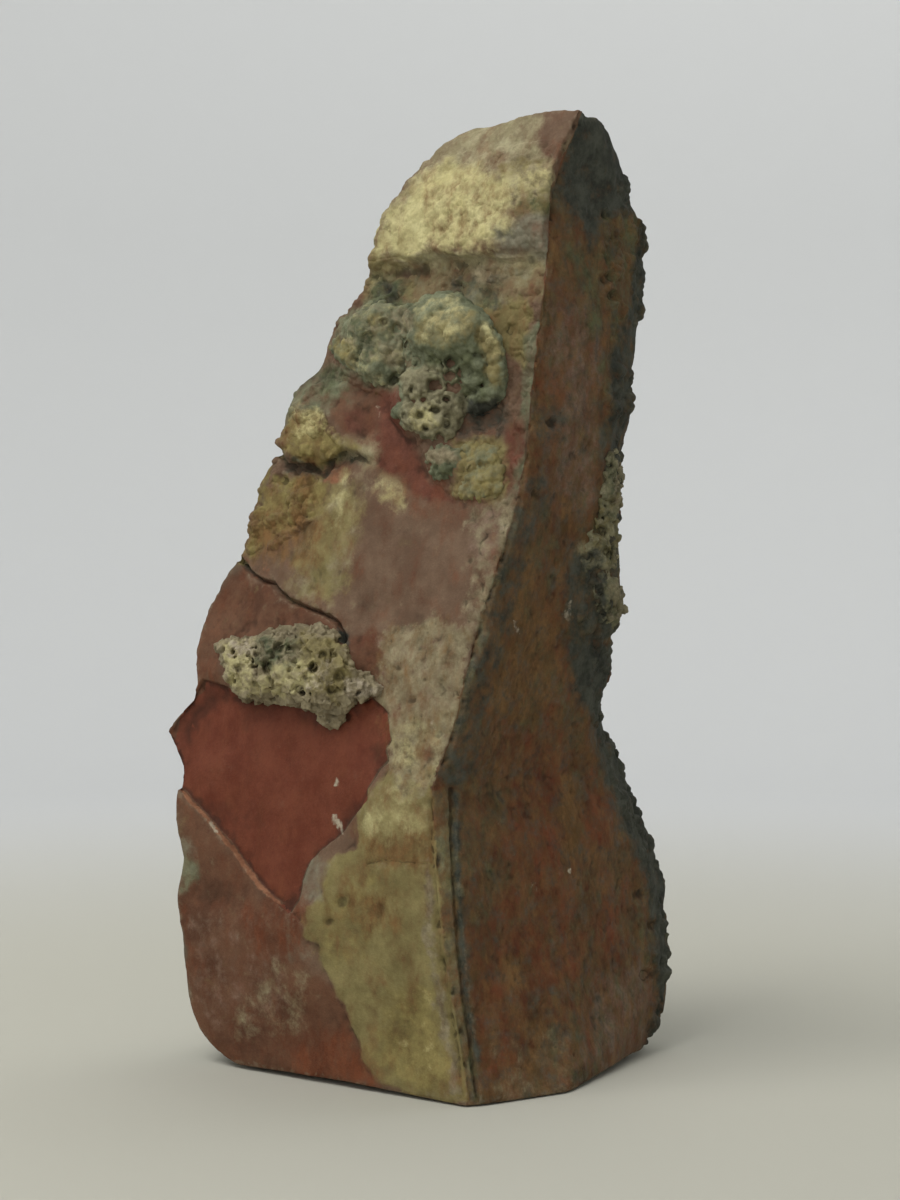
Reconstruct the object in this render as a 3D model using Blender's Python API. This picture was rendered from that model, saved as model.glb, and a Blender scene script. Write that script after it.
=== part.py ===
"""Viewing stone: one upright piece of red jasper with a sharp front ridge and mineral crusts.

The stone stands on a small flat spot. Sizes below are millimetres; the mesh is built in metres.
X runs to the right seen from the front, Y runs to the back, Z runs up, and the origin is the
middle of the stone's box at the flat spot.
"""

import math

import bmesh
import bpy
from mathutils import Vector, noise

MM = 0.001

# Overall stance
TIP_HEIGHT = 200.0
RIDGE_FOOT_Y = -39.0
RIDGE_TIP_Y = -27.0
LEFT_FACE_RECESS = 0.68  # how far the left face runs back for each millimetre to the left
RIGHT_FACE_RECESS = 1.07  # the same for the right face, to the right

# Profiles: (height, value) pairs, read between by straight lines
RIDGE_X = [(0, 9.5), (13, 8), (31, 5), (46, 3.5), (62, 2.5), (68, 5), (76, 7.5), (96, 12.5), (112, 17.5),
           (122, 20.5), (140, 22.5), (170, 26), (183, 27), (192, 30), (200, 33)]
LEFT_X = [(0, -38.5), (5, -46.5), (13, -49.5), (35, -52), (44, -51), (50, -52.5), (65, -53), (71, -55),
          (78, -49.5), (83, -47.5), (87, -49), (98, -47), (108, -41.5), (113, -37.5), (120, -37), (127, -34.5),
          (131, -30.5), (142, -29), (146, -27), (151, -21), (158, -19.5), (165, -12), (172, -9.5),
          (180, -9), (185, -5), (190, -1.5), (194, 1.5), (197, 5), (199, 12)]
RIGHT_X = [(0, 47.5), (4, 51.5), (9, 54.5), (13, 55.5), (18, 54.2), (23, 55.8), (29, 54.5), (35, 56), (42, 53.5),
           (51, 49), (60, 44), (65, 43.5), (70, 40.5), (76, 39.5), (81, 41), (86, 41.5), (91, 40), (98, 44),
           (103, 42.5), (117, 43.2), (130, 42.5), (141, 45), (150, 44), (162, 47), (170, 48.2), (180, 49),
           (184, 45.5), (189, 45), (194, 41), (198, 38), (199, 37)]
RIND_WIDTH = [(0, 6), (60, 5), (76, 3.5), (95, 7), (110, 7), (130, 5), (150, 6), (180, 8), (199, 0.8)]
RIND_DEPTH = [(0, 12), (60, 10), (80, 9), (130, 9), (180, 11), (199, 2)]
STRIP_WIDTH = [(0, 3.5), (50, 3.8), (64, 2), (120, 1.6), (185, 1.2), (199, 0.8)]
LEFT_BULGE = [(0, 0.5), (20, 1.2), (70, 0.8), (110, 1.6), (150, 0.5), (199, 1.5)]
RIGHT_BULGE = [(0, 7), (15, 4), (40, 1.5), (70, -0.8), (110, -0.5), (150, 0.5), (199, 0)]

# Back corners: (height, x, y)
BACK_RIGHT = [(0, 33, 30), (25, 38, 36), (70, 31, 32), (110, 33, 26), (150, 36, 18), (182, 39, 8), (196, 36, -10)]
BACK = [(0, -6, 34), (25, -10, 39), (60, -5, 38), (105, 2, 31), (150, 10, 22), (178, 16, 14), (193, 24, -3)]
BACK_LEFT = [(0, -33, 20), (25, -41, 27), (70, -43, 29), (110, -31, 24), (150, -14, 14), (178, -2, 7),
             (194, 12, -6)]
LEFT_TIP, RIDGE_TIP, RIGHT_TIP, BACK_TIP = 198.8, 199.7, 198.6, 192.5
LEFT_LIFT, RIDGE_LIFT, MIDDLE_LIFT, RIGHT_LIFT, BACK_LIFT = 0.9, 0.35, 1.4, 1.6, 3.0

# Mesh: how many columns lie on each stretch between corners, and how many rows go up
STRETCHES = [10, 10, 2, 8, 7, 4, 8, 8, 8, 8]
ROWS = 57
ROW_EASE = 0.1

# Broken planes on the back: (a point on the plane, its outward direction)
BREAKS = [
    ((-32, 27, 60), (-0.62, 0.78, 0.05)),
    ((8, 34, 80), (0.16, 0.96, 0.24)),
    ((-8, 18, 150), (-0.55, 0.76, 0.34)),
    ((24, 15, 170), (0.25, 0.90, 0.36)),
    ((-12, 34, 22), (-0.25, 0.90, -0.36)),
]

# Shell-shaped hollows where flakes came off the back: (x, y, height, radius, depth)
FLAKES = [
    (-24, 28, 122, 26, 3.4), (18, 36, 58, 30, 4.2), (40, 22, 96, 22, 2.8), (-34, 28, 46, 22, 2.6),
    (8, 24, 158, 20, 2.2), (50, 14, 150, 16, 1.6),
]

# Steps on the left face
CAP_LIP = 171.0
CAP_RISE = 2.6
SHELF_HEIGHT = 130.5
SHELF_RISE = 1.4
FACET_EDGE_X = [(34, -28), (45, -21), (52, -15), (60, -9.5), (67, -6.5), (80, -6)]
FACET_DEPTH = 1.1

# Crust lumps on the left face: (x, height, radius, rise)
CRUST_LUMPS = [
    (-10.5, 155, 8, 3.2), (7, 152, 10.5, 3.6), (1.5, 141, 7.5, 4.4), (5.5, 130, 5, 2.6), (12, 125, 5, 1.8),
    (-36, 86, 7, 3.6), (-26, 86.5, 7.5, 4.2), (-17, 86, 6, 3.8), (-17.5, 79, 4.5, 2.6),
    (-23, 138, 7, 1.6), (-29, 122, 6, 1.3),
]


def read(profile, height):
    """Value of a (height, value, ...) profile at a height, by straight lines."""
    if height <= profile[0][0]:
        return profile[0][1:]
    for low, high in zip(profile, profile[1:]):
        if height <= high[0]:
            share = (height - low[0]) / (high[0] - low[0])
            return tuple(a + (b - a) * share for a, b in zip(low[1:], high[1:]))
    return profile[-1][1:]


def value(profile, height):
    return read(profile, height)[0]


def ridge(height):
    share = height / TIP_HEIGHT
    return value(RIDGE_X, height), RIDGE_FOOT_Y + (RIDGE_TIP_Y - RIDGE_FOOT_Y) * share


def left_edge(height):
    x, y = ridge(height)
    left = value(LEFT_X, height)
    return left, y + LEFT_FACE_RECESS * (x - left)


def left_middle(height):
    (ax, ay), (bx, by) = left_edge(height), ridge(height)
    out = value(LEFT_BULGE, height)
    return (ax + bx) / 2 - 0.56 * out, (ay + by) / 2 - 0.83 * out


def strip_edge(height):
    x, y = ridge(height)
    return x + value(STRIP_WIDTH, height), y + 0.25 * value(STRIP_WIDTH, height)


def right_corner(height):
    x, y = strip_edge(height)
    right = value(RIGHT_X, height) - value(RIND_WIDTH, height)
    return right, y + RIGHT_FACE_RECESS * (right - x)


def right_middle(height):
    (ax, ay), (bx, by) = strip_edge(height), right_corner(height)
    out = value(RIGHT_BULGE, height)
    return (ax + bx) / 2 + 0.5 * out, (ay + by) / 2 - 0.7 * out


def right_edge(height):
    return value(RIGHT_X, height), right_corner(height)[1] + value(RIND_DEPTH, height)


def corners():
    """Every corner going round from the left edge past the ridge: its path, foot height and tip height."""
    return [
        (left_edge, LEFT_LIFT, LEFT_TIP),
        (left_middle, MIDDLE_LIFT, (LEFT_TIP + RIDGE_TIP) / 2),
        (ridge, RIDGE_LIFT, RIDGE_TIP),
        (strip_edge, RIDGE_LIFT, RIDGE_TIP),
        (right_middle, RIDGE_LIFT, RIGHT_TIP),
        (right_corner, RIGHT_LIFT, RIGHT_TIP),
        (right_edge, RIGHT_LIFT, RIGHT_TIP - 1),
        (lambda height: read(BACK_RIGHT, height), BACK_LIFT, BACK_TIP + 2),
        (lambda height: read(BACK, height), BACK_LIFT, BACK_TIP),
        (lambda height: read(BACK_LEFT, height), BACK_LIFT, BACK_TIP + 1),
    ]


def outline(share):
    """Points round the stone at a share of the way from foot to tip."""
    places = []
    for path, foot, tip in corners():
        height = foot + (tip - foot) * share
        places.append(Vector((*path(height), height)))
    points = []
    for here, after, count in zip(places, places[1:] + places[:1], STRETCHES):
        points += [here.lerp(after, step / count) for step in range(count)]
    return points


def place(ring, points):
    for vert, point in zip(ring, points):
        vert.co = point


def extrude_ring(bm, ring):
    """Extrudes a closed ring of vertices and returns the new ring in the same order."""
    edges = [bm.edges.get(pair) for pair in zip(ring, ring[1:] + ring[:1])]
    made = bmesh.ops.extrude_edge_only(bm, edges=edges)["geom"]
    new = {item for item in made if isinstance(item, bmesh.types.BMVert)}
    return [next(e.other_vert(v) for e in v.link_edges if e.other_vert(v) in new) for v in ring]


def drawn_in(points, scale, height_of):
    """The ring's points drawn towards their middle, at a height worked out from each."""
    middle = sum(points, Vector()) / len(points)
    drawn = [middle.lerp(point, scale) for point in points]
    return [Vector((p.x, p.y, height_of(p, q))) for p, q in zip(drawn, points)]


def close_foot(bm, ring, points):
    """The underside: a shallow rise from the flat spot out to the edge."""
    for scale, rise in ((0.93, 0.55), (0.82, 0.2), (0.7, 0.0), (0.4, 0.0)):
        ring = extrude_ring(bm, ring)
        place(ring, drawn_in(points, scale, lambda p, q, rise=rise: q.z * rise))
    bmesh.ops.contextual_create(bm, geom=ring)


def close_tip(bm, ring, points):
    """The top: a broken slope between the front edge and the lower back edge."""
    middle = sum(points, Vector()) / len(points)
    for scale, dome in ((0.82, 0.5), (0.6, 0.8), (0.35, 0.7)):
        ring = extrude_ring(bm, ring)
        place(ring, [middle.lerp(point, scale) + Vector((0, 0, dome)) for point in points])
    bmesh.ops.contextual_create(bm, geom=ring)


def loft():
    """The bare block: a ring of columns extruded row by row from foot to tip, then closed."""
    bm = bmesh.new()
    made = bmesh.ops.create_circle(bm, segments=sum(STRETCHES), radius=1)["verts"]
    first = list(made)
    place(first, outline(0))
    ring = first
    for row in range(1, ROWS + 1):
        share = row / ROWS
        points = outline(share + ROW_EASE * math.sin(math.pi * share) * (1 - share))
        ring = extrude_ring(bm, ring)
        place(ring, points)
    close_tip(bm, ring, points)
    close_foot(bm, first, outline(0))
    bmesh.ops.recalc_face_normals(bm, faces=bm.faces)
    return bm


def break_planes(bm):
    """Presses what stands past each broken plane back onto it."""
    for spot, direction in BREAKS:
        spot, direction = Vector(spot), Vector(direction).normalized()
        for vert in bm.verts:
            past = (vert.co - spot).dot(direction)
            if past > 0:
                sideways = vert.co.z < BACK_LIFT + 1
                vert.co -= Vector((direction.x, direction.y, 0 if sideways else direction.z)) * past


def left_face_rise(point):
    """How far the left face stands proud or lies back at a point."""
    x, height = point.x, point.z
    rise = 0.0
    if height > CAP_LIP:
        rise += CAP_RISE * min(1.0, (TIP_HEIGHT - height) / 14)
    if x < -13 and 119 < height < 146:
        rise += SHELF_RISE if height > SHELF_HEIGHT else -SHELF_RISE / 2
    if 34 < height < 80 and x < value(FACET_EDGE_X, height):
        rise -= FACET_DEPTH
    lumps = 0.0
    for lump_x, lump_height, radius, height_up in CRUST_LUMPS:
        away = math.hypot(x - lump_x, height - lump_height) / radius
        if away < 1:
            lumps = max(lumps, height_up * math.sqrt(1 - away * away))
    return rise + lumps


def roughness(point):
    """Broad waves and smaller bumps, in millimetres."""
    broad = noise.noise(point / 34) * 1.5
    small = noise.noise(point / 11 + Vector((7, 3, 1))) * 0.9
    return broad + small


def flake_depth(point):
    """How deep the flakes that came off leave the surface at a point."""
    depth = 0.0
    for x, y, height, radius, deepest in FLAKES:
        away = (point - Vector((x, y, height))).length / radius
        depth = max(depth, deepest * (1 - away * away))
    return depth


def weather(bm):
    """Adds the steps and crusts of the left face, the flaked back and the uneven skin all round."""
    bm.normal_update()
    left_out = Vector((-LEFT_FACE_RECESS, -1, 0)).normalized()
    moves = []
    for vert in bm.verts:
        free = min(1.0, max(0.0, (vert.co.z - 1.5) / 8))
        move = vert.normal * (roughness(vert.co) - flake_depth(vert.co)) * free
        if vert.normal.dot(left_out) > 0.8:
            move += left_out * left_face_rise(vert.co)
        moves.append(move)
    for vert, move in zip(bm.verts, moves):
        vert.co += move


def settle(bm):
    """Puts the foot at height zero and the middle of the box over the origin."""
    low = Vector([min(v.co[axis] for v in bm.verts) for axis in range(3)])
    high = Vector([max(v.co[axis] for v in bm.verts) for axis in range(3)])
    shift = Vector((-(low.x + high.x) / 2, -(low.y + high.y) / 2, -low.z))
    bmesh.ops.translate(bm, vec=shift, verts=bm.verts)
    bmesh.ops.scale(bm, vec=(MM, MM, MM), verts=bm.verts)


def jasper():
    """Dull red-brown stone."""
    material = bpy.data.materials.new("jasper")
    material.use_nodes = True
    shader = material.node_tree.nodes["Principled BSDF"]
    shader.inputs["Base Color"].default_value = (0.19, 0.10, 0.07, 1)
    shader.inputs["Roughness"].default_value = 0.6
    shader.inputs["Metallic"].default_value = 0
    return material


def clear_scene():
    for obj in list(bpy.data.objects):
        bpy.data.objects.remove(obj, do_unlink=True)


def make_stone():
    bm = loft()
    break_planes(bm)
    weather(bm)
    settle(bm)
    bmesh.ops.triangulate(bm, faces=bm.faces)
    mesh = bpy.data.meshes.new("stone")
    bm.to_mesh(mesh)
    bm.free()
    mesh.materials.append(jasper())
    mesh.shade_smooth()
    mesh.set_sharp_from_angle(angle=math.radians(40))
    stone = bpy.data.objects.new("stone", mesh)
    bpy.context.scene.collection.objects.link(stone)


clear_scene()
make_stone()
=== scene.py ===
"""Viewing stone: the finished surface of an upright block of red jasper with mineral crusts.

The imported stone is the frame. Its shape is copied, divided finely and broken up into a worn skin, and
the pebbly crusts that grew on it are added as pieces of their own. Lengths in this file are
millimetres unless a name says otherwise, and the meshes are written in metres.
"""

import itertools
import math
from collections import Counter

import bmesh
import bpy
import numpy as np
from mathutils import Euler, Matrix, Vector
from mathutils.bvhtree import BVHTree


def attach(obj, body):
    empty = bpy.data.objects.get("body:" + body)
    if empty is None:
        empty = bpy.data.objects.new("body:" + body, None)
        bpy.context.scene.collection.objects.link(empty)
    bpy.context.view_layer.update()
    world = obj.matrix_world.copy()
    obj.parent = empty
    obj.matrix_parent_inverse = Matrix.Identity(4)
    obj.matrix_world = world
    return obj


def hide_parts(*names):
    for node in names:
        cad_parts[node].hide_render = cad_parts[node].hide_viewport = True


bl_info = {
    "name": "Viewing stone",
    "version": (1, 0, 0),
    "blender": (4, 5, 0),
    "location": "3D View > Sidebar > Stone",
    "description": "Finishes an upright jasper viewing stone with its skin, crusts and stage",
    "category": "Object",
}

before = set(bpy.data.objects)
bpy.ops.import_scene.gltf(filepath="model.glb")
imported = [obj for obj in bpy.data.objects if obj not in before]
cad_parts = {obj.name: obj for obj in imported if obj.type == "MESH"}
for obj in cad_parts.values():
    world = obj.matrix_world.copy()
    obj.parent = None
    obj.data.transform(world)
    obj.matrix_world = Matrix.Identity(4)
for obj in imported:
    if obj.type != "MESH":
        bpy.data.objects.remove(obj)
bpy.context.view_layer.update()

MM = 0.001

# The view that the outlines below were read in: a level camera in front of the stone
VIEW_SIZE = (900, 1200)
VIEW_PLACE = (6.5, -433.0, 100.0)
VIEW_LENS = 60.0
VIEW_SENSOR = 36.0
FOCAL_PIXELS = VIEW_LENS / VIEW_SENSOR * VIEW_SIZE[1]
PIXELS_PER_MM = 4.9  # on the stone itself

# The front ridge, from tip to foot, in pixels of that view
RIDGE_LINE = [(584, 106), (577, 125), (566, 150), (551, 190), (548, 250), (540, 320), (531, 400), (527, 450),
              (517, 500), (506, 540), (493, 580), (480, 620), (464, 680), (456, 720), (443, 760), (431, 790),
              (437, 870), (444, 950), (452, 1000), (460, 1040), (470, 1106)]

# The sunken red facet, the pale panel beside it and the narrow strip along the ridge, in the same pixels
FACET_OUTLINE = [(168, 735), (194, 695), (202, 680), (230, 688), (270, 698), (318, 706), (352, 700),
                 (372, 697), (388, 712), (391, 740), (385, 748), (388, 760), (380, 768), (373, 780),
                 (367, 790), (368, 800), (352, 818), (345, 830), (326, 846), (310, 862), (303, 880),
                 (298, 900), (288, 915), (250, 872), (220, 833), (187, 795), (172, 785)]
PANEL_OUTLINE = [(362, 798), (376, 784), (392, 770), (432, 782), (438, 800), (441, 880), (449, 950),
                 (455, 1000), (463, 1040), (474, 1106), (430, 1098), (378, 1084), (364, 1060),
                 (354, 1030), (340, 1000), (326, 968), (320, 945), (303, 935), (303, 905), (324, 892),
                 (325, 868), (336, 854), (354, 845), (356, 820)]
STRIP_OUTLINE = [(434, 792), (453, 790), (456, 860), (461, 950), (468, 1020), (478, 1106), (464, 1106),
                 (452, 1040), (440, 960), (434, 880)]

# Where each mineral shows on the front, and where painted shade and painted highlights are laid in the
# same tones: (outline in pixels, width of its edge, fullness). A fullness of 1 or more is solid, 0 is half
# mottled and a negative one is a few specks.
LEFT_FACE = {
    "brown": [
        ([(236, 564), (272, 588), (310, 610), (345, 628), (352, 652), (330, 634), (262, 638), (222, 645),
          (226, 690), (194, 702), (196, 640), (212, 596)], 1.6, 1.0),
        ([(346, 640), (370, 628), (392, 640), (396, 668), (380, 692), (352, 690)], 1.0, 1.0),
        ([(174, 788), (232, 858), (283, 912), (302, 960), (334, 990), (354, 1030), (374, 1062), (382, 1088),
          (240, 1078), (190, 1045), (176, 900)], 2.0, 1.2),
        ([(378, 260), (548, 258), (546, 292), (500, 300), (440, 292), (380, 286)], 2.0, -0.4),
        ([(502, 440), (526, 405), (532, 445), (516, 480), (504, 500), (494, 490)], 1.4, 0.6),
        ([(325, 378), (385, 388), (380, 430), (382, 470), (345, 440), (335, 410)], 2.0, 0.5),
    ],
    "tan": [
        ([(378, 249), (412, 254), (462, 252), (549, 252), (549, 266), (378, 270)], 0.8, 0.5),
        ([(380, 236), (392, 205), (422, 160), (452, 136), (500, 114), (538, 106), (536, 130), (538, 150),
          (550, 164), (500, 174), (425, 186)], 1.6, 0.6),
        ([(268, 985), (285, 976), (300, 980), (300, 1000), (288, 1022), (272, 1018), (262, 1002)], 3.0, -0.6),
        ([(240, 1010), (251, 1008), (254, 1028), (242, 1034)], 2.0, -0.6),
        ([(334, 440), (378, 438), (388, 470), (352, 462)], 1.4, 0.5),
        ([(368, 268), (404, 284), (404, 306), (366, 304)], 1.4, 0.5),
        ([(385, 640), (440, 620), (466, 640), (456, 720), (430, 790), (398, 796), (388, 745), (380, 694)],
         2.0, 0.1),
        ([(308, 556), (344, 488), (358, 492), (350, 528), (336, 566), (324, 590), (304, 588)], 3.4, 0.2),
    ],
    "olive": [
        (PANEL_OUTLINE, 0.7, 1.4),
        ([(336, 484), (360, 488), (358, 512), (350, 536), (342, 566), (330, 598), (300, 594), (298, 570),
          (306, 546), (322, 514)], 4.6, 0.7),
        ([(470, 298), (530, 298), (530, 340), (524, 372), (500, 352), (480, 330)], 1.4, 1.0),
        ([(452, 440), (502, 436), (506, 470), (504, 502), (478, 502), (448, 494), (462, 470)], 1.4, 1.0),
        ([(518, 190), (549, 186), (549, 218), (520, 216)], 1.2, 0.4),
        ([(362, 262), (549, 262), (542, 302), (482, 312), (440, 302), (364, 312)], 2.0, 0.0),
        ([(500, 162), (548, 158), (546, 172), (502, 176)], 0.8, 0.4),
    ],
    "ochre": [
        ([(376, 238), (398, 214), (438, 214), (440, 232), (408, 250), (378, 262)], 1.4, 0.1),
        ([(292, 412), (318, 408), (326, 436), (352, 448), (340, 462), (318, 470), (300, 460), (284, 454),
          (282, 430)], 1.6, 0.7),
        ([(276, 472), (300, 476), (325, 478), (330, 500), (318, 520), (300, 512), (292, 530), (270, 540),
          (250, 558), (244, 550), (254, 520), (260, 492)], 1.6, 0.7),
        ([(392, 990), (424, 985), (446, 1050), (458, 1088), (430, 1096), (395, 1082), (372, 1060)], 3.0, 1.0),
        ([(330, 870), (366, 866), (372, 900), (360, 960), (326, 950)], 3.0, -0.3),
    ],
    "moss": [
        ([(516, 190), (548, 188), (548, 214), (520, 214)], 1.4, -0.3),
        ([(454, 280), (498, 280), (496, 306), (456, 306)], 1.6, 0.1),
        ([(372, 280), (406, 282), (408, 316), (368, 314)], 1.6, 0.7),
        ([(322, 368), (345, 372), (340, 392), (320, 388)], 1.4, 0.0),
    ],
    "sage": [
        ([(290, 392), (318, 372), (350, 368), (342, 396), (318, 408), (286, 416)], 2.4, 0.2),
        ([(340, 318), (372, 298), (420, 304), (430, 372), (390, 392), (360, 380), (334, 350)], 1.2, 1.0),
        ([(512, 498), (524, 498), (517, 545), (502, 590), (492, 622), (483, 642), (476, 640), (490, 590),
          (503, 545)], 0.7, 0.3),
        ([(524, 340), (541, 320), (534, 400), (530, 450), (520, 500), (508, 500), (519, 440)], 0.9, 0.3),
        ([(182, 850), (196, 860), (196, 884), (180, 890)], 1.2, 0.4),
    ],
    "grey": [
        ([(498, 216), (549, 214), (549, 258), (500, 252), (490, 236)], 1.6, 1.2),
        ([(415, 262), (546, 262), (543, 302), (430, 300)], 2.0, -0.5),
        ([(418, 715), (442, 718), (440, 748), (420, 745)], 1.4, 0.5),
        ([(182, 842), (194, 850), (194, 872), (182, 872)], 2.0, -0.3),
        ([(300, 860), (320, 866), (318, 895), (300, 902), (294, 935), (302, 950), (290, 960), (288, 900)],
         1.8, -0.2),
    ],
    "cream": [
        ([(374, 254), (384, 222), (404, 196), (424, 174), (452, 164), (478, 170), (500, 178), (549, 165),
          (549, 188), (524, 196), (510, 206), (514, 218), (497, 232), (490, 248), (440, 250), (405, 253)],
         2.2, 1.3),
        ([(384, 472), (402, 476), (400, 506), (384, 496)], 2.0, -0.1),
        ([(392, 730), (440, 716), (436, 780), (402, 796)], 2.4, 0.1),
        ([(378, 800), (398, 792), (420, 806), (416, 835), (390, 830), (370, 838)], 2.6, -0.2),
        ([(338, 470), (348, 468), (349, 482), (340, 483)], 1.0, 0.2),
        ([(340, 495), (352, 495), (350, 525), (338, 525)], 2.0, -0.2),
    ],
    "butter": [
        ([(438, 202), (486, 206), (494, 234), (442, 236)], 2.0, 0.3),
        ([(428, 178), (482, 178), (480, 197), (426, 196)], 2.0, 0.1),
        ([(526, 170), (546, 166), (547, 184), (530, 186)], 1.4, 0.0),
        ([(298, 408), (316, 410), (320, 432), (300, 434)], 1.8, -0.2),
        ([(398, 1000), (422, 998), (426, 1060), (404, 1064)], 3.0, -1.0),
    ],
    "pale": [
        ([(474, 510), (508, 500), (518, 512), (514, 540), (502, 560), (494, 590), (484, 612), (474, 632),
          (464, 614), (472, 580), (480, 548), (470, 528)], 1.6, -0.1),
        ([(504, 500), (520, 498), (513, 545), (499, 585), (487, 620), (477, 648), (470, 640), (484, 590),
          (496, 550)], 1.0, 0.7),
        ([(385, 634), (430, 622), (464, 632), (464, 660), (456, 700), (450, 735), (436, 770), (426, 792),
          (402, 796), (388, 770), (394, 740), (391, 712), (378, 692)], 2.0, 0.05),
        ([(438, 642), (463, 638), (462, 662), (444, 670)], 1.0, 1.0),
        ([(422, 748), (436, 744), (438, 762), (424, 768)], 0.9, 0.9),
        ([(426, 862), (432, 880), (433, 960), (446, 1010), (454, 1060), (462, 1096), (452, 1092), (444, 1040),
          (434, 1000), (426, 950), (424, 890)], 0.8, 1.1),
        # painted highlights: this pale spot on the neck and the next along the ridge near the tip
        ([(468, 264), (512, 262), (510, 280), (474, 279)], 1.0, 0.3),
        ([(562, 144), (571, 142), (569, 166), (560, 168)], 0.6, 0.8),
        ([(514, 160), (550, 158), (550, 192), (514, 198)], 2.0, -0.1),
    ],
    "crimson": [
        ([(382, 390), (403, 390), (405, 402), (402, 420), (410, 440), (418, 455), (426, 475), (442, 490),
          (455, 500), (430, 500), (402, 482), (378, 472), (376, 440), (378, 408)], 2.2, 0.8),
        ([(506, 432), (522, 420), (529, 445), (516, 466), (505, 484), (498, 486), (506, 456)], 1.6, 0.1),
        ([(345, 414), (378, 412), (380, 446), (352, 440)], 1.6, -0.1),
    ],
    "jasper": [
        (FACET_OUTLINE, 0.5, 1.5),
        ([(350, 640), (372, 636), (386, 655), (378, 684), (358, 676)], 1.6, -0.2),
    ],
    "red": [
        ([(286, 900), (304, 905), (300, 950), (262, 955), (248, 920)], 3.0, 0.0),
        ([(296, 1035), (345, 1035), (364, 1062), (374, 1086), (296, 1082)], 3.4, 0.5),
        ([(400, 455), (440, 480), (470, 500), (450, 520), (410, 500)], 3.0, -0.3),
    ],
    "mauve": [
        ([(196, 935), (252, 930), (268, 1000), (215, 1010)], 4.0, -0.6),
        ([(474, 520), (500, 510), (502, 546), (484, 562), (470, 548)], 1.6, 0.2),
        ([(388, 640), (450, 640), (440, 720), (400, 760)], 3.0, -0.1),
        ([(372, 838), (425, 836), (428, 858), (374, 862)], 2.0, 0.2),
    ],
    "rust": [
        ([(362, 900), (391, 896), (395, 924), (366, 928)], 2.4, 0.2),
        ([(370, 836), (427, 834), (430, 860), (374, 864)], 3.0, 0.0),
        ([(328, 898), (352, 894), (354, 912), (330, 914)], 1.8, -0.3),
        ([(440, 196), (500, 190), (506, 214), (450, 220)], 3.0, -0.5),
        ([(390, 640), (452, 632), (448, 720), (424, 780), (396, 770)], 3.0, -0.7),
        ([(294, 474), (305, 478), (308, 522), (292, 534)], 1.2, 0.4),
        ([(262, 528), (330, 520), (310, 560), (256, 556)], 2.6, 0.1),
    ],
    "orange": [
        ([(266, 906), (294, 910), (292, 944), (266, 946)], 2.6, -0.9),
        ([(322, 464), (343, 463), (341, 482), (324, 482)], 1.2, 0.2),
        # painted highlight: a thin orange line along the edge of the slanting step
        ([(180, 786), (188, 792), (206, 812), (221, 830), (236, 847), (252, 869), (264, 885), (283, 903),
          (281, 907), (260, 890), (247, 874), (232, 852), (217, 835), (203, 817), (184, 796)], 0.35, 0.5),
        ([(248, 560), (276, 545), (292, 560), (262, 576)], 2.0, -0.5),
    ],
    # painted shade: green-black laid in the pocket beside the upper crust, in the neck's pits, in the notch
    # where the crack ends and along the crevice under the ledge
    "pitch": [
        ([(464, 404), (500, 396), (508, 420), (496, 440), (462, 436)], 1.4, -0.2),
        ([(378, 284), (400, 286), (398, 304), (376, 304)], 1.2, -0.1),
        ([(456, 282), (496, 282), (494, 304), (458, 304)], 2.0, -0.3),
        ([(338, 628), (350, 632), (348, 646), (336, 642)], 0.7, 1.0),
        ([(284, 452), (300, 462), (322, 468), (345, 452), (366, 458), (364, 463), (346, 461), (324, 476),
          (286, 470)], 0.9, -0.1),
    ],
    "white": [
        ([(334, 778), (340, 777), (342, 783), (339, 787), (334, 786)], 0.5, 0.3),
        ([(331, 814), (339, 815), (343, 826), (344, 836), (336, 828), (331, 824)], 0.5, 0.3),
        ([(274, 742), (281, 742), (281, 749), (275, 749)], 0.6, -0.2),
        # painted highlight: a white glint on the pale rim by the ridge
        ([(500, 518), (510, 518), (508, 530), (500, 530)], 1.0, -0.2),
        ([(207, 819), (213, 823), (219, 833), (214, 832)], 0.5, 0.2),
        ([(376, 405), (380, 405), (380, 418), (377, 418)], 0.5, -0.1),
        ([(430, 718), (434, 720), (436, 730), (432, 728)], 0.5, -0.1),
    ],
}

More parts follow.
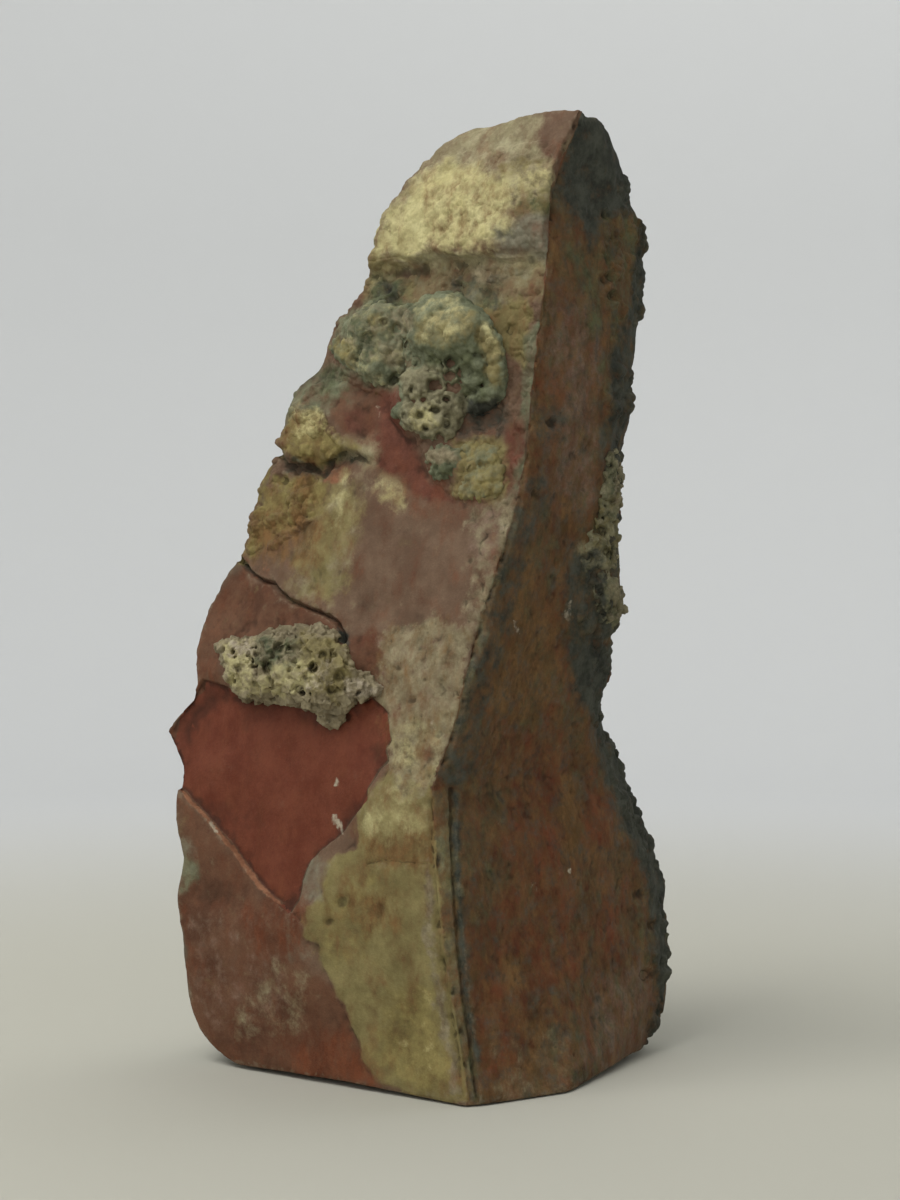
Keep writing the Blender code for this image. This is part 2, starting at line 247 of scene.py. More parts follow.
RIGHT_FACE = {
    "mauve": [
        ([(552, 300), (598, 300), (600, 420), (596, 500), (560, 520), (548, 440)], 3.0, 1.1),
        ([(596, 980), (648, 960), (652, 1040), (610, 1078), (580, 1060)], 3.0, 1.7),
    ],
    "red": [
        ([(542, 700), (553, 700), (556, 860), (560, 900), (546, 880), (538, 800)], 1.4, 1.3),
        ([(586, 790), (612, 790), (612, 850), (588, 850)], 2.4, 1.2),
        ([(590, 905), (622, 905), (624, 960), (596, 965)], 2.4, 1.2),
        ([(520, 730), (566, 730), (575, 980), (530, 1000), (500, 900)], 4.0, 0.3),
        ([(470, 930), (520, 900), (530, 1060), (480, 1080)], 3.0, 0.3),
        ([(575, 640), (600, 640), (590, 700), (570, 700)], 2.0, 0.1),
    ],
    "rust": [
        ([(558, 770), (577, 776), (580, 862), (563, 860)], 1.4, 1.0),
        ([(498, 955), (524, 955), (522, 985), (500, 985)], 1.6, 1.0),
        ([(562, 498), (576, 498), (576, 532), (564, 532)], 1.2, 0.6),
        ([(552, 192), (572, 200), (588, 262), (576, 275), (552, 262)], 2.0, -0.3),
        ([(520, 1020), (545, 1020), (548, 1080), (524, 1080)], 1.8, 0.3),
        ([(500, 580), (530, 560), (560, 640), (540, 720), (490, 720)], 3.0, 0.3),
    ],
    "sage": [
        ([(516, 498), (525, 502), (514, 548), (500, 588), (489, 624), (474, 680), (466, 722), (452, 762),
          (446, 752), (456, 712), (466, 672), (480, 620), (492, 584), (505, 545)], 0.7, 0.2),
        (STRIP_OUTLINE, 0.8, 0.0),
    ],
    "olive": [(STRIP_OUTLINE, 0.8, 1.2)],
    "tan": [
        ([(604, 455), (628, 455), (628, 506), (604, 505)], 1.4, -0.2),
        ([(578, 545), (622, 540), (630, 610), (610, 640), (592, 630), (574, 620)], 1.6, -0.2),
        ([(500, 1040), (560, 1040), (556, 1090), (506, 1096)], 3.0, -0.3),
    ],
    "moss": [
        ([(590, 200), (644, 200), (648, 310), (606, 330), (594, 270)], 2.4, 2.0),
        ([(604, 320), (650, 330), (650, 640), (570, 640), (598, 500)], 3.0, 0.3),
        ([(622, 816), (641, 822), (642, 842), (626, 838)], 1.2, 0.6),
        ([(640, 890), (664, 890), (664, 960), (644, 965)], 2.0, 0.1),
        ([(576, 545), (604, 545), (600, 640), (572, 640)], 2.0, 0.0),
        ([(455, 780), (500, 780), (520, 860), (500, 960), (470, 960)], 3.0, 0.0),
        ([(500, 540), (540, 500), (560, 560), (520, 640)], 3.0, -0.1),
        ([(530, 640), (580, 660), (570, 760), (530, 760)], 3.0, -0.1),
        ([(560, 960), (620, 980), (600, 1060), (550, 1060)], 3.0, -0.2),
        ([(560, 230), (600, 250), (612, 330), (590, 340)], 2.4, 0.8),
    ],
    "pitch": [
        # painted shadow: a dark band beside the ridge, right of the pale rim
        ([(520, 505), (534, 520), (512, 600), (490, 690), (474, 770), (456, 790), (440, 790), (470, 680),
          (500, 585)], 2.4, 0.0),
        ([(560, 96), (600, 92), (660, 170), (640, 215), (606, 216), (590, 250), (578, 225), (566, 205),
          (552, 190), (566, 150)], 2.4, 0.9),
        ([(640, 205), (680, 205), (660, 480), (640, 640), (610, 640), (606, 470), (612, 350), (632, 300)],
         1.6, 0.5),
        ([(602, 400), (620, 400), (612, 470), (600, 470)], 2.0, 0.0),
        ([(566, 560), (604, 545), (640, 560), (640, 640), (566, 645)], 2.4, 0.4),
        ([(566, 640), (650, 640), (650, 760), (710, 880), (710, 1062), (644, 1062), (656, 1000), (653, 930),
          (642, 872), (620, 822), (603, 775), (590, 720), (572, 690)], 1.6, 1.0),
        # painted shadow: a thin dark line right of the rim
        ([(518, 500), (526, 506), (514, 545), (500, 585), (488, 622), (473, 678), (465, 722), (451, 762),
          (440, 790), (430, 795), (444, 752), (456, 712), (466, 672), (478, 628), (490, 600)], 1.4, -0.2),
        # painted shadow: a thin dark line beside the strip
        ([(451, 790), (458, 790), (460, 860), (465, 950), (471, 1010), (481, 1064), (476, 1064), (466, 1020),
          (459, 950), (453, 860)], 0.8, 0.6),
        # painted shade in two pits, this one and the next
        ([(544, 408), (562, 408), (562, 438), (546, 438)], 2.0, -0.2),
        ([(528, 478), (546, 478), (546, 512), (528, 512)], 2.0, -0.1),
    ],
    "white": [
        # painted highlights: this fleck and the next are white glints on the right face
        ([(512, 620), (516, 620), (520, 632), (522, 640), (516, 632)], 0.4, -0.1),
        ([(568, 868), (572, 868), (571, 875), (568, 874)], 0.4, 0.6),
        ([(532, 882), (538, 882), (538, 893), (532, 893)], 0.8, -0.3),
        ([(566, 604), (572, 600), (570, 622), (565, 622)], 0.6, -0.1),
    ],
}

# Where minerals show on the back and sides: (x, y, height, radius, edge, fullness)
BACK = {
    "brown": [(-24, 28, 122, 28, 9, 0.6), (18, 36, 58, 34, 9, 0.7), (-34, 28, 46, 26, 8, 0.6),
              (8, 24, 158, 24, 8, 0.4), (50, 0, 60, 20, 8, 0.1), (-44, 16, 76, 26, 8, 0.8)],
    "red": [(18, 36, 62, 26, 9, 0.3), (-44, 18, 66, 26, 8, 0.5), (38, 22, 96, 18, 8, 0.0),
            (0, 26, 134, 18, 8, -0.2)],
    "tan": [(-4, 4, 186, 18, 6, 0.2), (-18, 10, 168, 14, 6, -0.3)],
    "ochre": [(-32, 8, 118, 20, 7, 0.0), (-20, 30, 14, 16, 6, -0.3), (30, 24, 140, 16, 6, -0.5)],
    "cream": [(-10, 2, 176, 14, 5, 0.1), (12, 0, 196, 12, 5, -0.2)],
    "sage": [(-16, 18, 148, 24, 8, -0.2), (36, 34, 28, 24, 8, -0.2), (44, 14, 120, 22, 8, -0.2),
             (-46, 24, 24, 20, 8, -0.1), (30, -4, 192, 14, 5, 0.2)],
    "moss": [(0, 34, 100, 30, 10, 0.0), (20, 20, 170, 24, 8, 0.0), (-30, 26, 90, 24, 8, -0.3)],
    "pale": [(-18, 24, 104, 14, 5, -0.5), (4, 38, 44, 14, 5, -0.5), (26, 28, 112, 12, 5, -0.5)],
    "pitch": [(0, 30, 20, 30, 8, 0.1), (48, 20, 60, 22, 6, 0.5), (46, 6, 160, 24, 6, 0.5),
              (14, 20, 176, 20, 6, 0.3), (-50, 16, 30, 16, 5, 0.2)],
}

FAR_LEVEL = 3.0  # levels run from this far outside a patch, where nothing shows, to this far inside it
WIDEST_EDGE = 6  # no patch has a wider edge than this, in millimetres
NO_TRACE = (-FAR_LEVEL, -FAR_LEVEL)
# The fullness of a mineral outside its patches: (left face, right face)
TRACES = {
    "red": (-0.95, -0.4), "olive": (-0.95, -FAR_LEVEL), "brown": (-0.9, -FAR_LEVEL),
    "tan": (-1.3, -FAR_LEVEL), "rust": (-FAR_LEVEL, -0.5), "mauve": (-FAR_LEVEL, -0.7),
    "moss": (-FAR_LEVEL, -0.45), "pitch": (-FAR_LEVEL, -0.6),
}
CRISP = {"jasper", "crimson", "orange", "white", "pitch"}  # minerals whose borders hardly wander
CRISP_BEND, LOOSE_BEND = 0.25, 1.0  # how much of the bending of outlines such borders and the others take

# Lines cut or stepped into the front, in pixels: the hairline crack, the edge of the cap's lip, the ledge,
# the slanting step across the red facet, the split across the panel, and the borders of strip and rim
CRACK = [(232, 552), (242, 562), (250, 572), (260, 580), (272, 583), (280, 592), (290, 600), (305, 607),
         (320, 612), (335, 620), (340, 627), (344, 638)]
LIP = [(376, 262), (392, 253), (412, 257), (436, 249), (462, 256), (486, 251), (508, 259), (549, 255)]
LEDGE = [(282, 452), (290, 464), (305, 465), (320, 472), (330, 463), (345, 455), (365, 460), (378, 460)]
SLANT = [(176, 785), (187, 795), (205, 815), (220, 833), (235, 850), (250, 872), (262, 888), (283, 906)]
PANEL_SPLIT = [(368, 864), (385, 860), (400, 862), (428, 863)]
STRIP_LEFT = [(431, 800), (433, 870), (441, 950), (449, 1000), (457, 1050), (464, 1106)]
STRIP_RIGHT = [(452, 790), (453, 860), (459, 950), (466, 1010), (472, 1050), (478, 1106)]
RIM_LINE = [(520, 502), (506, 545), (494, 585), (482, 622), (466, 680), (458, 720), (446, 760)]

# Where those steps begin and end, as pixels between which each one fades
LIP_START, LIP_END = (372, 392), (552, 544)
LEDGE_END, SHELF_END = (388, 345), (380, 360)
SLANT_TOP = 780

# Rough ground on the front: (outline, width of its edge, size of the knobs, height of the knobs)
KNOBBLY = [
    ([(470, 505), (522, 498), (514, 545), (496, 600), (476, 650), (460, 620), (474, 560)], 1.2, 3.2, 0.9),
    ([(385, 630), (468, 620), (470, 660), (440, 770), (425, 796), (398, 796), (388, 745), (380, 694)],
     1.6, 5.2, 0.45),
    ([(385, 640), (440, 620), (480, 600), (474, 510), (518, 500), (494, 590), (456, 720), (430, 790),
      (398, 796), (388, 745), (380, 694)], 1.6, 2.0, 0.3),
    ([(325, 375), (385, 385), (380, 430), (345, 440), (322, 420)], 1.6, 3.0, 0.4),
    ([(540, 300), (600, 300), (604, 520), (560, 640), (530, 560)], 3.0, 4.0, 0.4),
]

# Skins of finer, rougher ground: (outline in pixels, and in millimetres how far the skin wraps round behind
# the stone's sides, its lift, the (size, height) of its knobs from coarse to fine, the height of its swells
# and the depth of its pocks)
ROUGH_SKINS = {
    "cap_skin": (
        [(358, 268), (366, 215), (398, 180), (436, 128), (500, 98), (536, 98), (552, 114), (562, 130),
         (566, 150), (551, 190), (549, 262), (500, 262), (440, 260)], 7.0, 0.25,
        ((3.6, 0.8), (1.5, 0.4), (0.7, 0.16)), 0.6, 0.5),
    "neck_skin": (
        [(340, 300), (366, 256), (440, 262), (549, 258), (545, 330), (534, 400), (528, 446), (514, 506),
         (480, 508), (446, 500), (430, 478), (412, 440), (396, 404), (360, 392), (330, 372), (324, 340)],
        5.0, 0.15, ((3.0, 1.0), (1.3, 0.5), (0.6, 0.18)), 0.7, 0.5),
    "rim_skin": (
        [(280, 384), (322, 378), (330, 420), (352, 446), (345, 462), (326, 470), (332, 500), (318, 524),
         (296, 536), (262, 556), (232, 560), (236, 520), (268, 440)], 6.0, 0.2,
        ((4.2, 2.0), (1.9, 1.0), (0.9, 0.35)), 0.9, 0.25),
    "edge_skin": (
        [(612, 185), (632, 172), (664, 200), (670, 300), (650, 360), (650, 640), (632, 700), (650, 780),
         (700, 860), (700, 1050), (660, 1066), (640, 1050), (650, 1000), (652, 930), (642, 872), (618, 820),
         (602, 770), (588, 720), (590, 650), (572, 625), (580, 560), (598, 500), (606, 440), (602, 380),
         (606, 330), (596, 280), (596, 220)], 7.0, 0.2,
        ((4.6, 1.7), (2.0, 0.9), (0.9, 0.3)), 1.0, 1.0),
}
SKIN_TOP = 194.0  # the stone is too thin for a skin above this height
SKIN_MARGIN = 1.4  # how far a skin reaches past its outline
SKIN_SINK = 1.0  # how deep its border lies in the body
SKIN_THICKNESS = 1.4

# Ground that broke clean: (outline, width of its edge)
SMOOTH = [
    ([(168, 735), (202, 680), (372, 697), (391, 740), (368, 800), (298, 900), (320, 945), (352, 1030),
      (360, 1070), (240, 1075), (180, 1000)], 1.5),
    ([(362, 798), (424, 786), (430, 880), (446, 1000), (462, 1100), (380, 1084), (320, 945), (325, 868)],
     1.5),
    ([(345, 500), (470, 505), (470, 600), (385, 640), (350, 620)], 2.5),
]

# Single pits and pocks on the front: (u, v, radius in pixels, depth)
PITS = [
    (456, 287, 7, 0.8), (386, 290, 7, 0.8), (394, 298, 6, 0.8), (486, 292, 8, 0.6), (283, 480, 6, 1.4),
    (313, 480, 6, 1.2), (297, 470, 6, 1.4), (343, 638, 6, 1.0), (345, 717, 7, 0.8), (363, 697, 7, 0.9),
    (378, 910, 12, 0.25), (342, 902, 8, 0.5), (330, 922, 6, 0.5), (510, 330, 6, 0.6), (505, 346, 5, 0.6),
    (482, 467, 6, 0.9), (608, 278, 7, 1.6), (614, 296, 7, 1.4), (606, 215, 6, 1.2), (613, 236, 5, 1.0),
    (553, 422, 8, 0.9), (537, 495, 8, 0.9), (484, 418, 19, 2.2), (497, 408, 10, 1.0), (393, 380, 6, 1.6),
    (470, 560, 5, 0.4), (440, 735, 6, 0.5), (412, 700, 5, 0.4), (398, 668, 4, 0.4), (425, 680, 4, 0.4),
    (640, 895, 8, 1.0), (652, 925, 7, 1.0), (646, 975, 8, 1.0), (612, 545, 6, 1.2), (596, 575, 7, 1.2),
]

# Hollows where flakes came off the back: (x, y, height, radius)
FLAKES = [(-24, 28, 122, 26), (18, 36, 58, 30), (40, 22, 96, 22), (-34, 28, 46, 22), (8, 24, 158, 20)]

# Lobes of the upper crust: (outline in pixels, least and greatest radius of its lumps, thickness in the
# middle, number of lumps). Its holes: (u, v, radius in pixels, depth).
UPPER_LOBES = [
    ([(349, 326), (362, 307), (380, 304), (396, 310), (398, 330), (386, 346), (366, 346), (350, 344)],
     (1.6, 2.4), 2.2, 44),
    ([(352, 344), (372, 340), (400, 336), (414, 345), (410, 364), (402, 374), (388, 388), (372, 384),
      (356, 370)], (1.0, 2.0), 1.6, 50),
    ([(394, 308), (412, 306), (420, 320), (416, 340), (400, 338), (392, 324)], (0.9, 1.6), 1.4, 24),
    ([(330, 346), (344, 334), (356, 352), (358, 372), (340, 364)], (0.8, 1.6), 0.9, 24),
    ([(410, 320), (428, 300), (450, 296), (470, 306), (484, 326), (482, 348), (460, 356), (438, 354),
      (416, 350)], (2.4, 3.4), 3.8, 70),
    ([(414, 340), (440, 348), (484, 346), (494, 372), (484, 394), (462, 396), (444, 376), (420, 372)],
     (0.9, 1.7), 1.6, 50),
    ([(474, 318), (486, 318), (498, 342), (506, 370), (503, 394), (488, 408), (470, 410), (466, 400),
      (480, 394), (490, 386), (492, 366), (484, 344)], (1.1, 1.5), 3.0, 90),
    ([(401, 380), (414, 368), (434, 370), (446, 378), (444, 396), (424, 402), (404, 400)],
     (0.7, 1.4), 2.8, 60),
    ([(398, 404), (424, 402), (446, 392), (462, 392), (468, 408), (462, 426), (448, 441), (428, 438),
      (406, 428), (396, 414)], (0.7, 1.4), 3.0, 90),
    ([(424, 450), (440, 445), (460, 449), (463, 462), (448, 480), (430, 476)], (0.6, 1.2), 1.0, 60),
    ([(464, 446), (484, 440), (500, 448), (504, 470), (500, 494), (480, 502), (452, 495), (468, 476)],
     (0.8, 1.6), 1.2, 80),
]
UPPER_HOLES = [(452, 363, 6, 3.0), (450, 376, 5, 2.6), (434, 386, 7, 2.8), (435, 411, 5, 2.4),
               (416, 362, 5, 1.6), (396, 380, 6, 2.4), (440, 437, 5, 1.8), (420, 415, 4, 1.4),
               (456, 388, 4, 1.8), (412, 390, 4, 1.4), (424, 400, 3.5, 1.4), (447, 400, 4, 1.6),
               (447, 424, 4, 1.6), (404, 416, 3.5, 1.0), (426, 428, 3.5, 1.2), (486, 416, 12, 2.2),
               (497, 405, 7, 1.4), (408, 345, 5, 1.4), (368, 338, 7, 1.2), (384, 322, 4, 1.0),
               (484, 467, 6, 1.2), (466, 372, 8, 1.6), (398, 328, 5, 1.2), (474, 470, 5, 1.0)]
UPPER_MINERALS = {
    "moss": [
        ([(415, 300), (484, 300), (484, 350), (415, 350)], 2.0, -0.35),
        ([(354, 318), (372, 318), (378, 352), (366, 372), (352, 352)], 1.2, -0.2),
        ([(424, 346), (470, 340), (484, 352), (490, 384), (466, 400), (450, 386), (438, 372)], 1.6, 0.1),
        ([(430, 462), (452, 464), (448, 480), (432, 476)], 0.8, 0.3),
    ],
    "olive": [([(474, 322), (490, 326), (500, 350), (502, 384), (488, 384), (482, 350)], 1.2, 0.6),
              ([(420, 318), (470, 312), (478, 332), (440, 346), (418, 340)], 1.8, 0.2)],
    "ochre": [([(462, 440), (504, 436), (506, 504), (450, 500), (464, 470)], 1.4, 0.3),
              ([(330, 344), (345, 335), (356, 352), (352, 368), (338, 360)], 1.2, 0.2),
              ([(370, 316), (384, 314), (386, 330), (372, 332)], 1.0, 0.0)],
    "grit": [([(396, 368), (446, 364), (470, 392), (470, 420), (450, 444), (404, 434)], 1.4, 1.2),
             ([(462, 444), (502, 440), (504, 502), (452, 496), (466, 470)], 1.4, -0.3),
             ([(376, 344), (410, 340), (404, 366), (380, 364)], 1.6, 0.6)],
    "cream": [([(349, 304), (398, 302), (402, 340), (384, 386), (350, 366)], 2.0, -0.65),
              # painted highlight on the top of the crust's dome
              ([(424, 306), (452, 300), (464, 318), (448, 330), (424, 330)], 2.4, -0.25),
              ([(412, 408), (430, 404), (432, 424), (414, 426)], 1.2, 0.0),
              ([(484, 324), (492, 330), (500, 352), (494, 356)], 0.8, 0.2)],
    "pale": [([(424, 450), (440, 446), (460, 450), (458, 464), (428, 462)], 1.2, 0.9),
             ([(392, 310), (412, 310), (412, 330), (394, 332)], 1.4, 0.2),
             ([(349, 306), (396, 304), (400, 340), (384, 384), (352, 366)], 1.6, -0.4)],
    # painted shade: green-black in the pocket at the crust's lower right
    "pitch": [([(470, 402), (500, 398), (506, 420), (496, 436), (462, 432)], 1.0, 0.9)],
}

# The grainy crust on the right edge, in the same terms
EDGE_LOBES = [
    ([(606, 455), (616, 450), (622, 470), (621, 508), (610, 520), (598, 512)], (0.6, 1.2), 0.9, 50),
    ([(596, 512), (614, 512), (618, 540), (614, 566), (598, 576), (580, 566)], (0.6, 1.3), 1.1, 60),
    ([(592, 570), (608, 572), (622, 592), (624, 610), (610, 628), (600, 622), (594, 600)],
     (0.7, 1.5), 1.3, 50),
]
EDGE_HOLES = [(604, 480, 5, 1.2), (612, 500, 4, 1.2), (600, 530, 6, 1.6), (588, 556, 5, 1.4),
              (606, 552, 5, 1.6), (600, 590, 5, 1.4), (612, 610, 5, 1.4), (610, 466, 3, 1.0)]
EDGE_MINERALS = {
    "moss": [([(570, 446), (636, 446), (636, 640), (570, 640)], 2.0, -0.3)],
    "ochre": [([(600, 500), (625, 500), (625, 560), (600, 560)], 2.0, -0.4)],
    "pale": [([(618, 448), (636, 448), (634, 520), (616, 510)], 1.0, 0.0),
             ([(610, 570), (634, 590), (634, 625), (612, 620)], 1.2, -0.1)],
    "white": [([(596, 446), (636, 446), (636, 640), (610, 640), (600, 590)], 2.0, -0.7)],
    "pitch": [([(582, 552), (600, 548), (606, 600), (602, 642), (582, 640)], 1.2, 0.2),
              ([(580, 446), (636, 446), (636, 640), (580, 640)], 2.0, -0.7)],
}

# The crystal crust above the red facet: a pad of lumps under many small blocks
LOWER_OUTLINE = [(222, 645), (234, 641), (255, 642), (264, 637), (285, 632), (312, 629), (328, 630),
                 (340, 643), (349, 660), (356, 675), (372, 681), (379, 690), (368, 696), (354, 694),
                 (350, 704), (343, 712), (338, 722), (328, 722), (318, 710), (305, 704), (290, 698),
                 (270, 699), (250, 696), (238, 690), (230, 678), (225, 662)]
LOWER_LUMPS, LOWER_LUMP_RADII, LOWER_LUMP_DROP = 70, (1.3, 2.2), 0.8
LOWER_CRYSTALS, LOWER_CRYSTAL_SIZES = 320, (1.0, 2.5)
LOWER_HOLES = [(279, 648, 6, 1.8), (268, 667, 6, 2.0), (314, 668, 5, 2.0), (238, 668, 4, 1.2),
               (290, 652, 5, 1.4), (331, 690, 4, 1.4), (322, 655, 4, 1.2), (340, 676, 5, 1.2),
               (300, 690, 5, 1.2), (256, 655, 3, 1.0)]
LOWER_MINERALS = {
    "moss": [([(258, 640), (300, 642), (320, 650), (312, 664), (270, 672), (256, 660)], 1.4, 0.1)],
    "olive": [([(300, 632), (344, 642), (352, 672), (334, 700), (308, 690), (300, 656)], 1.8, 0.6)],
    "cream": [([(270, 668), (312, 660), (312, 684), (284, 692), (252, 692)], 1.6, 0.0),
              ([(224, 644), (250, 642), (248, 690), (232, 684)], 1.6, 0.0)],
    "white": [([(300, 674), (332, 662), (330, 682), (306, 690)], 1.4, -0.3),
              ([(346, 680), (378, 684), (376, 694), (350, 696)], 1.2, 0.0),
              ([(232, 642), (252, 642), (252, 652), (234, 652)], 1.0, 0.2)],
}

TONES = {  # (what it is, darker tone, lighter tone), each from 0 to 255 as it looks on screen
    "ground": ("the left face's ground", (95, 74, 58), (111, 90, 72)),
    "bark": ("the right face's ground", (46, 35, 21), (117, 89, 59)),
    "rind": ("the rind on the back", (52, 50, 44), (90, 84, 70)),
    "brown": ("the red-brown stone", (80, 53, 38), (106, 75, 56)),
    "mauve": ("the mauve streaks", (98, 79, 65), (132, 110, 94)),
    "tan": ("the tan skin", (129, 119, 89), (165, 157, 124)),
    "olive": ("the olive skin", (107, 96, 61), (136, 125, 83)),
    "ochre": ("the ochre", (104, 90, 54), (140, 128, 79)),
    "sage": ("the grey-green skin", (85, 88, 66), (124, 128, 101)),
    "moss": ("the dark green mineral", (57, 61, 41), (96, 100, 70)),
    "grey": ("the grey film", (106, 101, 83), (134, 130, 110)),
    "grit": ("the honeycombed lobe", (90, 84, 62), (142, 136, 106)),
    # this tone is also laid as a painted highlight on the upper crust's dome
    "cream": ("the cream mineral", (160, 149, 103), (197, 189, 139)),
    "butter": ("the brightest yellow", (178, 168, 117), (206, 197, 146)),
    # this tone is also laid as painted highlights on the neck and the ridge
    "pale": ("the whitish skin", (98, 87, 65), (143, 132, 104)),
    "crimson": ("the crimson patch", (82, 47, 35), (107, 65, 50)),
    "jasper": ("the deep red facet", (94, 46, 30), (109, 59, 41)),
    "red": ("the red streaks", (84, 45, 28), (117, 67, 43)),
    "rust": ("the rusty streaks", (86, 63, 35), (125, 93, 57)),
    # this tone is also laid as a painted highlight along the slanting step
    "orange": ("the orange stain", (112, 73, 51), (148, 104, 77)),
    # this tone is also laid as painted shade in crevices, pits and beside the ridge
    "pitch": ("the green-black mineral", (44, 46, 39), (77, 78, 68)),
    # this tone is also laid as painted glints
    "white": ("the white flecks", (138, 126, 106), (182, 170, 148)),
}

# The minerals from the undermost to the topmost: (pattern, size of its edge's waver, how much it wavers,
# softness of its edge)
SKIN_LAYERS = {
    "brown": ("even", 7.0, 1.1, 0.8), "mauve": ("even", 3.0, 1.3, 1.0), "tan": ("even", 4.0, 1.2, 1.0),
    "olive": ("even", 5.0, 0.9, 0.7), "ochre": ("even", 3.0, 1.2, 0.9), "sage": ("even", 4.0, 1.1, 1.0),
    "moss": ("even", 2.6, 1.4, 1.1), "grey": ("even", 5.0, 1.1, 0.9), "cream": ("even", 4.0, 1.1, 0.9),
    "butter": ("even", 3.0, 1.1, 0.8), "pale": ("even", 2.0, 1.1, 0.8), "crimson": ("even", 4.0, 0.9, 0.7),
    "jasper": ("even", 4.0, 0.4, 0.25), "red": ("streaked", 4.0, 1.4, 1.3),
    "rust": ("streaked", 2.4, 1.4, 1.2), "orange": ("even", 2.0, 0.7, 0.4), "pitch": ("even", 3.0, 1.2, 0.9),
    "white": ("even", 1.2, 0.4, 0.3),
}
CRUST_LAYERS = {
    "grit": ("even", 3.0, 1.0, 0.7), "moss": ("even", 3.0, 1.2, 0.9), "olive": ("even", 3.0, 1.1, 0.8),
    "ochre": ("even", 2.6, 1.1, 0.9), "cream": ("even", 2.4, 1.1, 0.9), "pale": ("even", 2.0, 1.1, 0.8),
    "white": ("even", 1.4, 1.0, 0.7), "pitch": ("even", 3.0, 1.0, 0.8),
}


def tone(name, description, default):
    """A colour that a user can change, given as it looks on screen."""
    return bpy.props.FloatVectorProperty(
        name=name, description=description, default=[part / 255 for part in default], size=3, min=0, max=1,
        subtype="COLOR_GAMMA")


def size(name, description, default):
    """A length in millimetres, or a strength, that a user can change."""
    return bpy.props.FloatProperty(name=name, description=description, default=default, min=0.0, max=100.0)


class StoneShape(bpy.types.PropertyGroup):
    """Sizes of the skin's detail."""

    levels: bpy.props.IntProperty(
        name="Divisions", description="How often the packed shape is divided before it is worn",
        default=3, min=1, max=4)
    triangles: bpy.props.IntProperty(
        name="Triangles", description="Most triangles that the finished skin keeps", default=194000, min=1000)
    grain: size("Grain", "Height of the stone's own roughness, in millimetres", 0.24)
    crack_width: size("Crack width", "Width of the hairline crack, in millimetres", 0.62)
    crack_depth: size("Crack depth", "Depth of the hairline crack, in millimetres", 1.7)
    lip_depth: size("Lip depth", "How far the ground under the cap's lip lies back, in millimetres", 0.9)
    ledge_depth: size("Ledge depth", "Depth of the crevice under the ledge, in millimetres", 1.2)
    facet_step: size("Facet step", "How far the red facet lies below the skin beside it, in millimetres", 0.7)
    slant_step: size("Slant step", "Height of the slanting step across the facet, in millimetres", 0.45)
    streak: size("Streak", "Height of the upright streaks of the right face, in millimetres", 0.17)
    rough: size("Rough skins", "How strongly the rough skins are raised", 1.0)
    skin_triangles: bpy.props.IntProperty(
        name="Skin triangles", description="Most triangles that each rough skin keeps",
        default=118000, min=1000)
    chip: size("Chip", "Depth of the chips along the front ridge, in millimetres", 1.1)


class CrustShape(bpy.types.PropertyGroup):
    """Sizes of the crusts' detail."""

    upper_voxel: size("Upper voxel", "Finest detail of the upper crust, in millimetres", 0.26)
    lower_voxel: size("Lower voxel", "Finest detail of the lower crust, in millimetres", 0.22)
    edge_voxel: size("Edge voxel", "Finest detail of the crust on the right edge, in millimetres", 0.26)
    upper_grain: size("Upper grain", "Height of the grains on the upper crust, in millimetres", 0.16)
    lower_grain: size("Lower grain", "Height of the grains on the lower crust, in millimetres", 0.12)
    lower_rise: size("Lower rise", "How far the lower crust stands out, in millimetres", 2.6)
    triangles: bpy.props.IntProperty(
        name="Triangles", description="Most triangles that each crust keeps", default=128000, min=1000)


class StoneColours(bpy.types.PropertyGroup):
    """Dark and light tone of each mineral."""

    __annotations__ = {
        f"{name}_{shade}": tone(f"{name.capitalize()} {shade}", f"The {shade} tone of {place}", colour)
        for name, (place, *pair) in TONES.items() for shade, colour in zip(("dark", "light"), pair)
    } | {
        # dirt and painted shade in hollows both take this colour
        "dirt": tone("Dirt and shade", "Colour that gathers in hollows", (34, 29, 22)),
        "wear": tone("Wear", "Colour of bruised edges", (150, 140, 116)),
    }


class StageSettings(bpy.types.PropertyGroup):
    """Floor and light."""

    floor: tone("Floor", "Colour of the floor", (187, 185, 172))
    wall: tone("Wall", "Colour of the wall", (210, 211, 210))
    key_power: bpy.props.FloatProperty(
        name="Key power", description="Power of the large lamp above the stone, in watts", default=6.8, min=0)
    fill_power: bpy.props.FloatProperty(
        name="Fill power", description="Power of the soft lamp beside the camera, in watts",
        default=1.4, min=0)
    wall_power: bpy.props.FloatProperty(
        name="Wall power", description="Power of the lamp that lights the wall, in watts", default=3.8, min=0)
    sky: bpy.props.FloatProperty(
        name="Sky", description="Strength of the even light from all round", default=0.2, min=0)


# The skin's relief, in millimetres. A seed picks the pattern that a noise follows.
SOFT_ANGLE, CREASE_SPAN, MOST_CREASE = 28, 40, 0.85  # edges sharper than the first, in degrees, are creased
BEND_SEEDS, WANDER_SEEDS = (91, 95), (97, 98, 99)  # of the outlines' bending and of the back's blots
KNOB_SEED = 31
BODY_GRAIN = ((1.3, 8.0, 3, 11), (0.5, 1.4, 2, 21))  # (share of the stone's grain, size, layers, seed)
CLEAN_SHARE = 0.65  # how much of that grain is missing where the stone broke clean
CHIP_NOISE = ((3.4, 41), (1.2, 42))  # (size, seed) of the noise that bites chips out of the ridge
RIDGE_GROOVES = ((STRIP_LEFT, 0.7), (STRIP_RIGHT, 0.9), (RIM_LINE, 0.2))  # (line, depth)
RIDGE_GROOVE_WIDTH = 1.8
PANEL_SPLIT_WIDTH, PANEL_SPLIT_DEPTH = 0.7, 0.3
PANEL_RISE, SHELF_RISE, CREVICE_WIDTH = 0.3, 0.9, 3.4
BACK_KNOBS = ((0.7, 6.5, 61), (0.25, 2.3, 62))  # (height, size, seed)
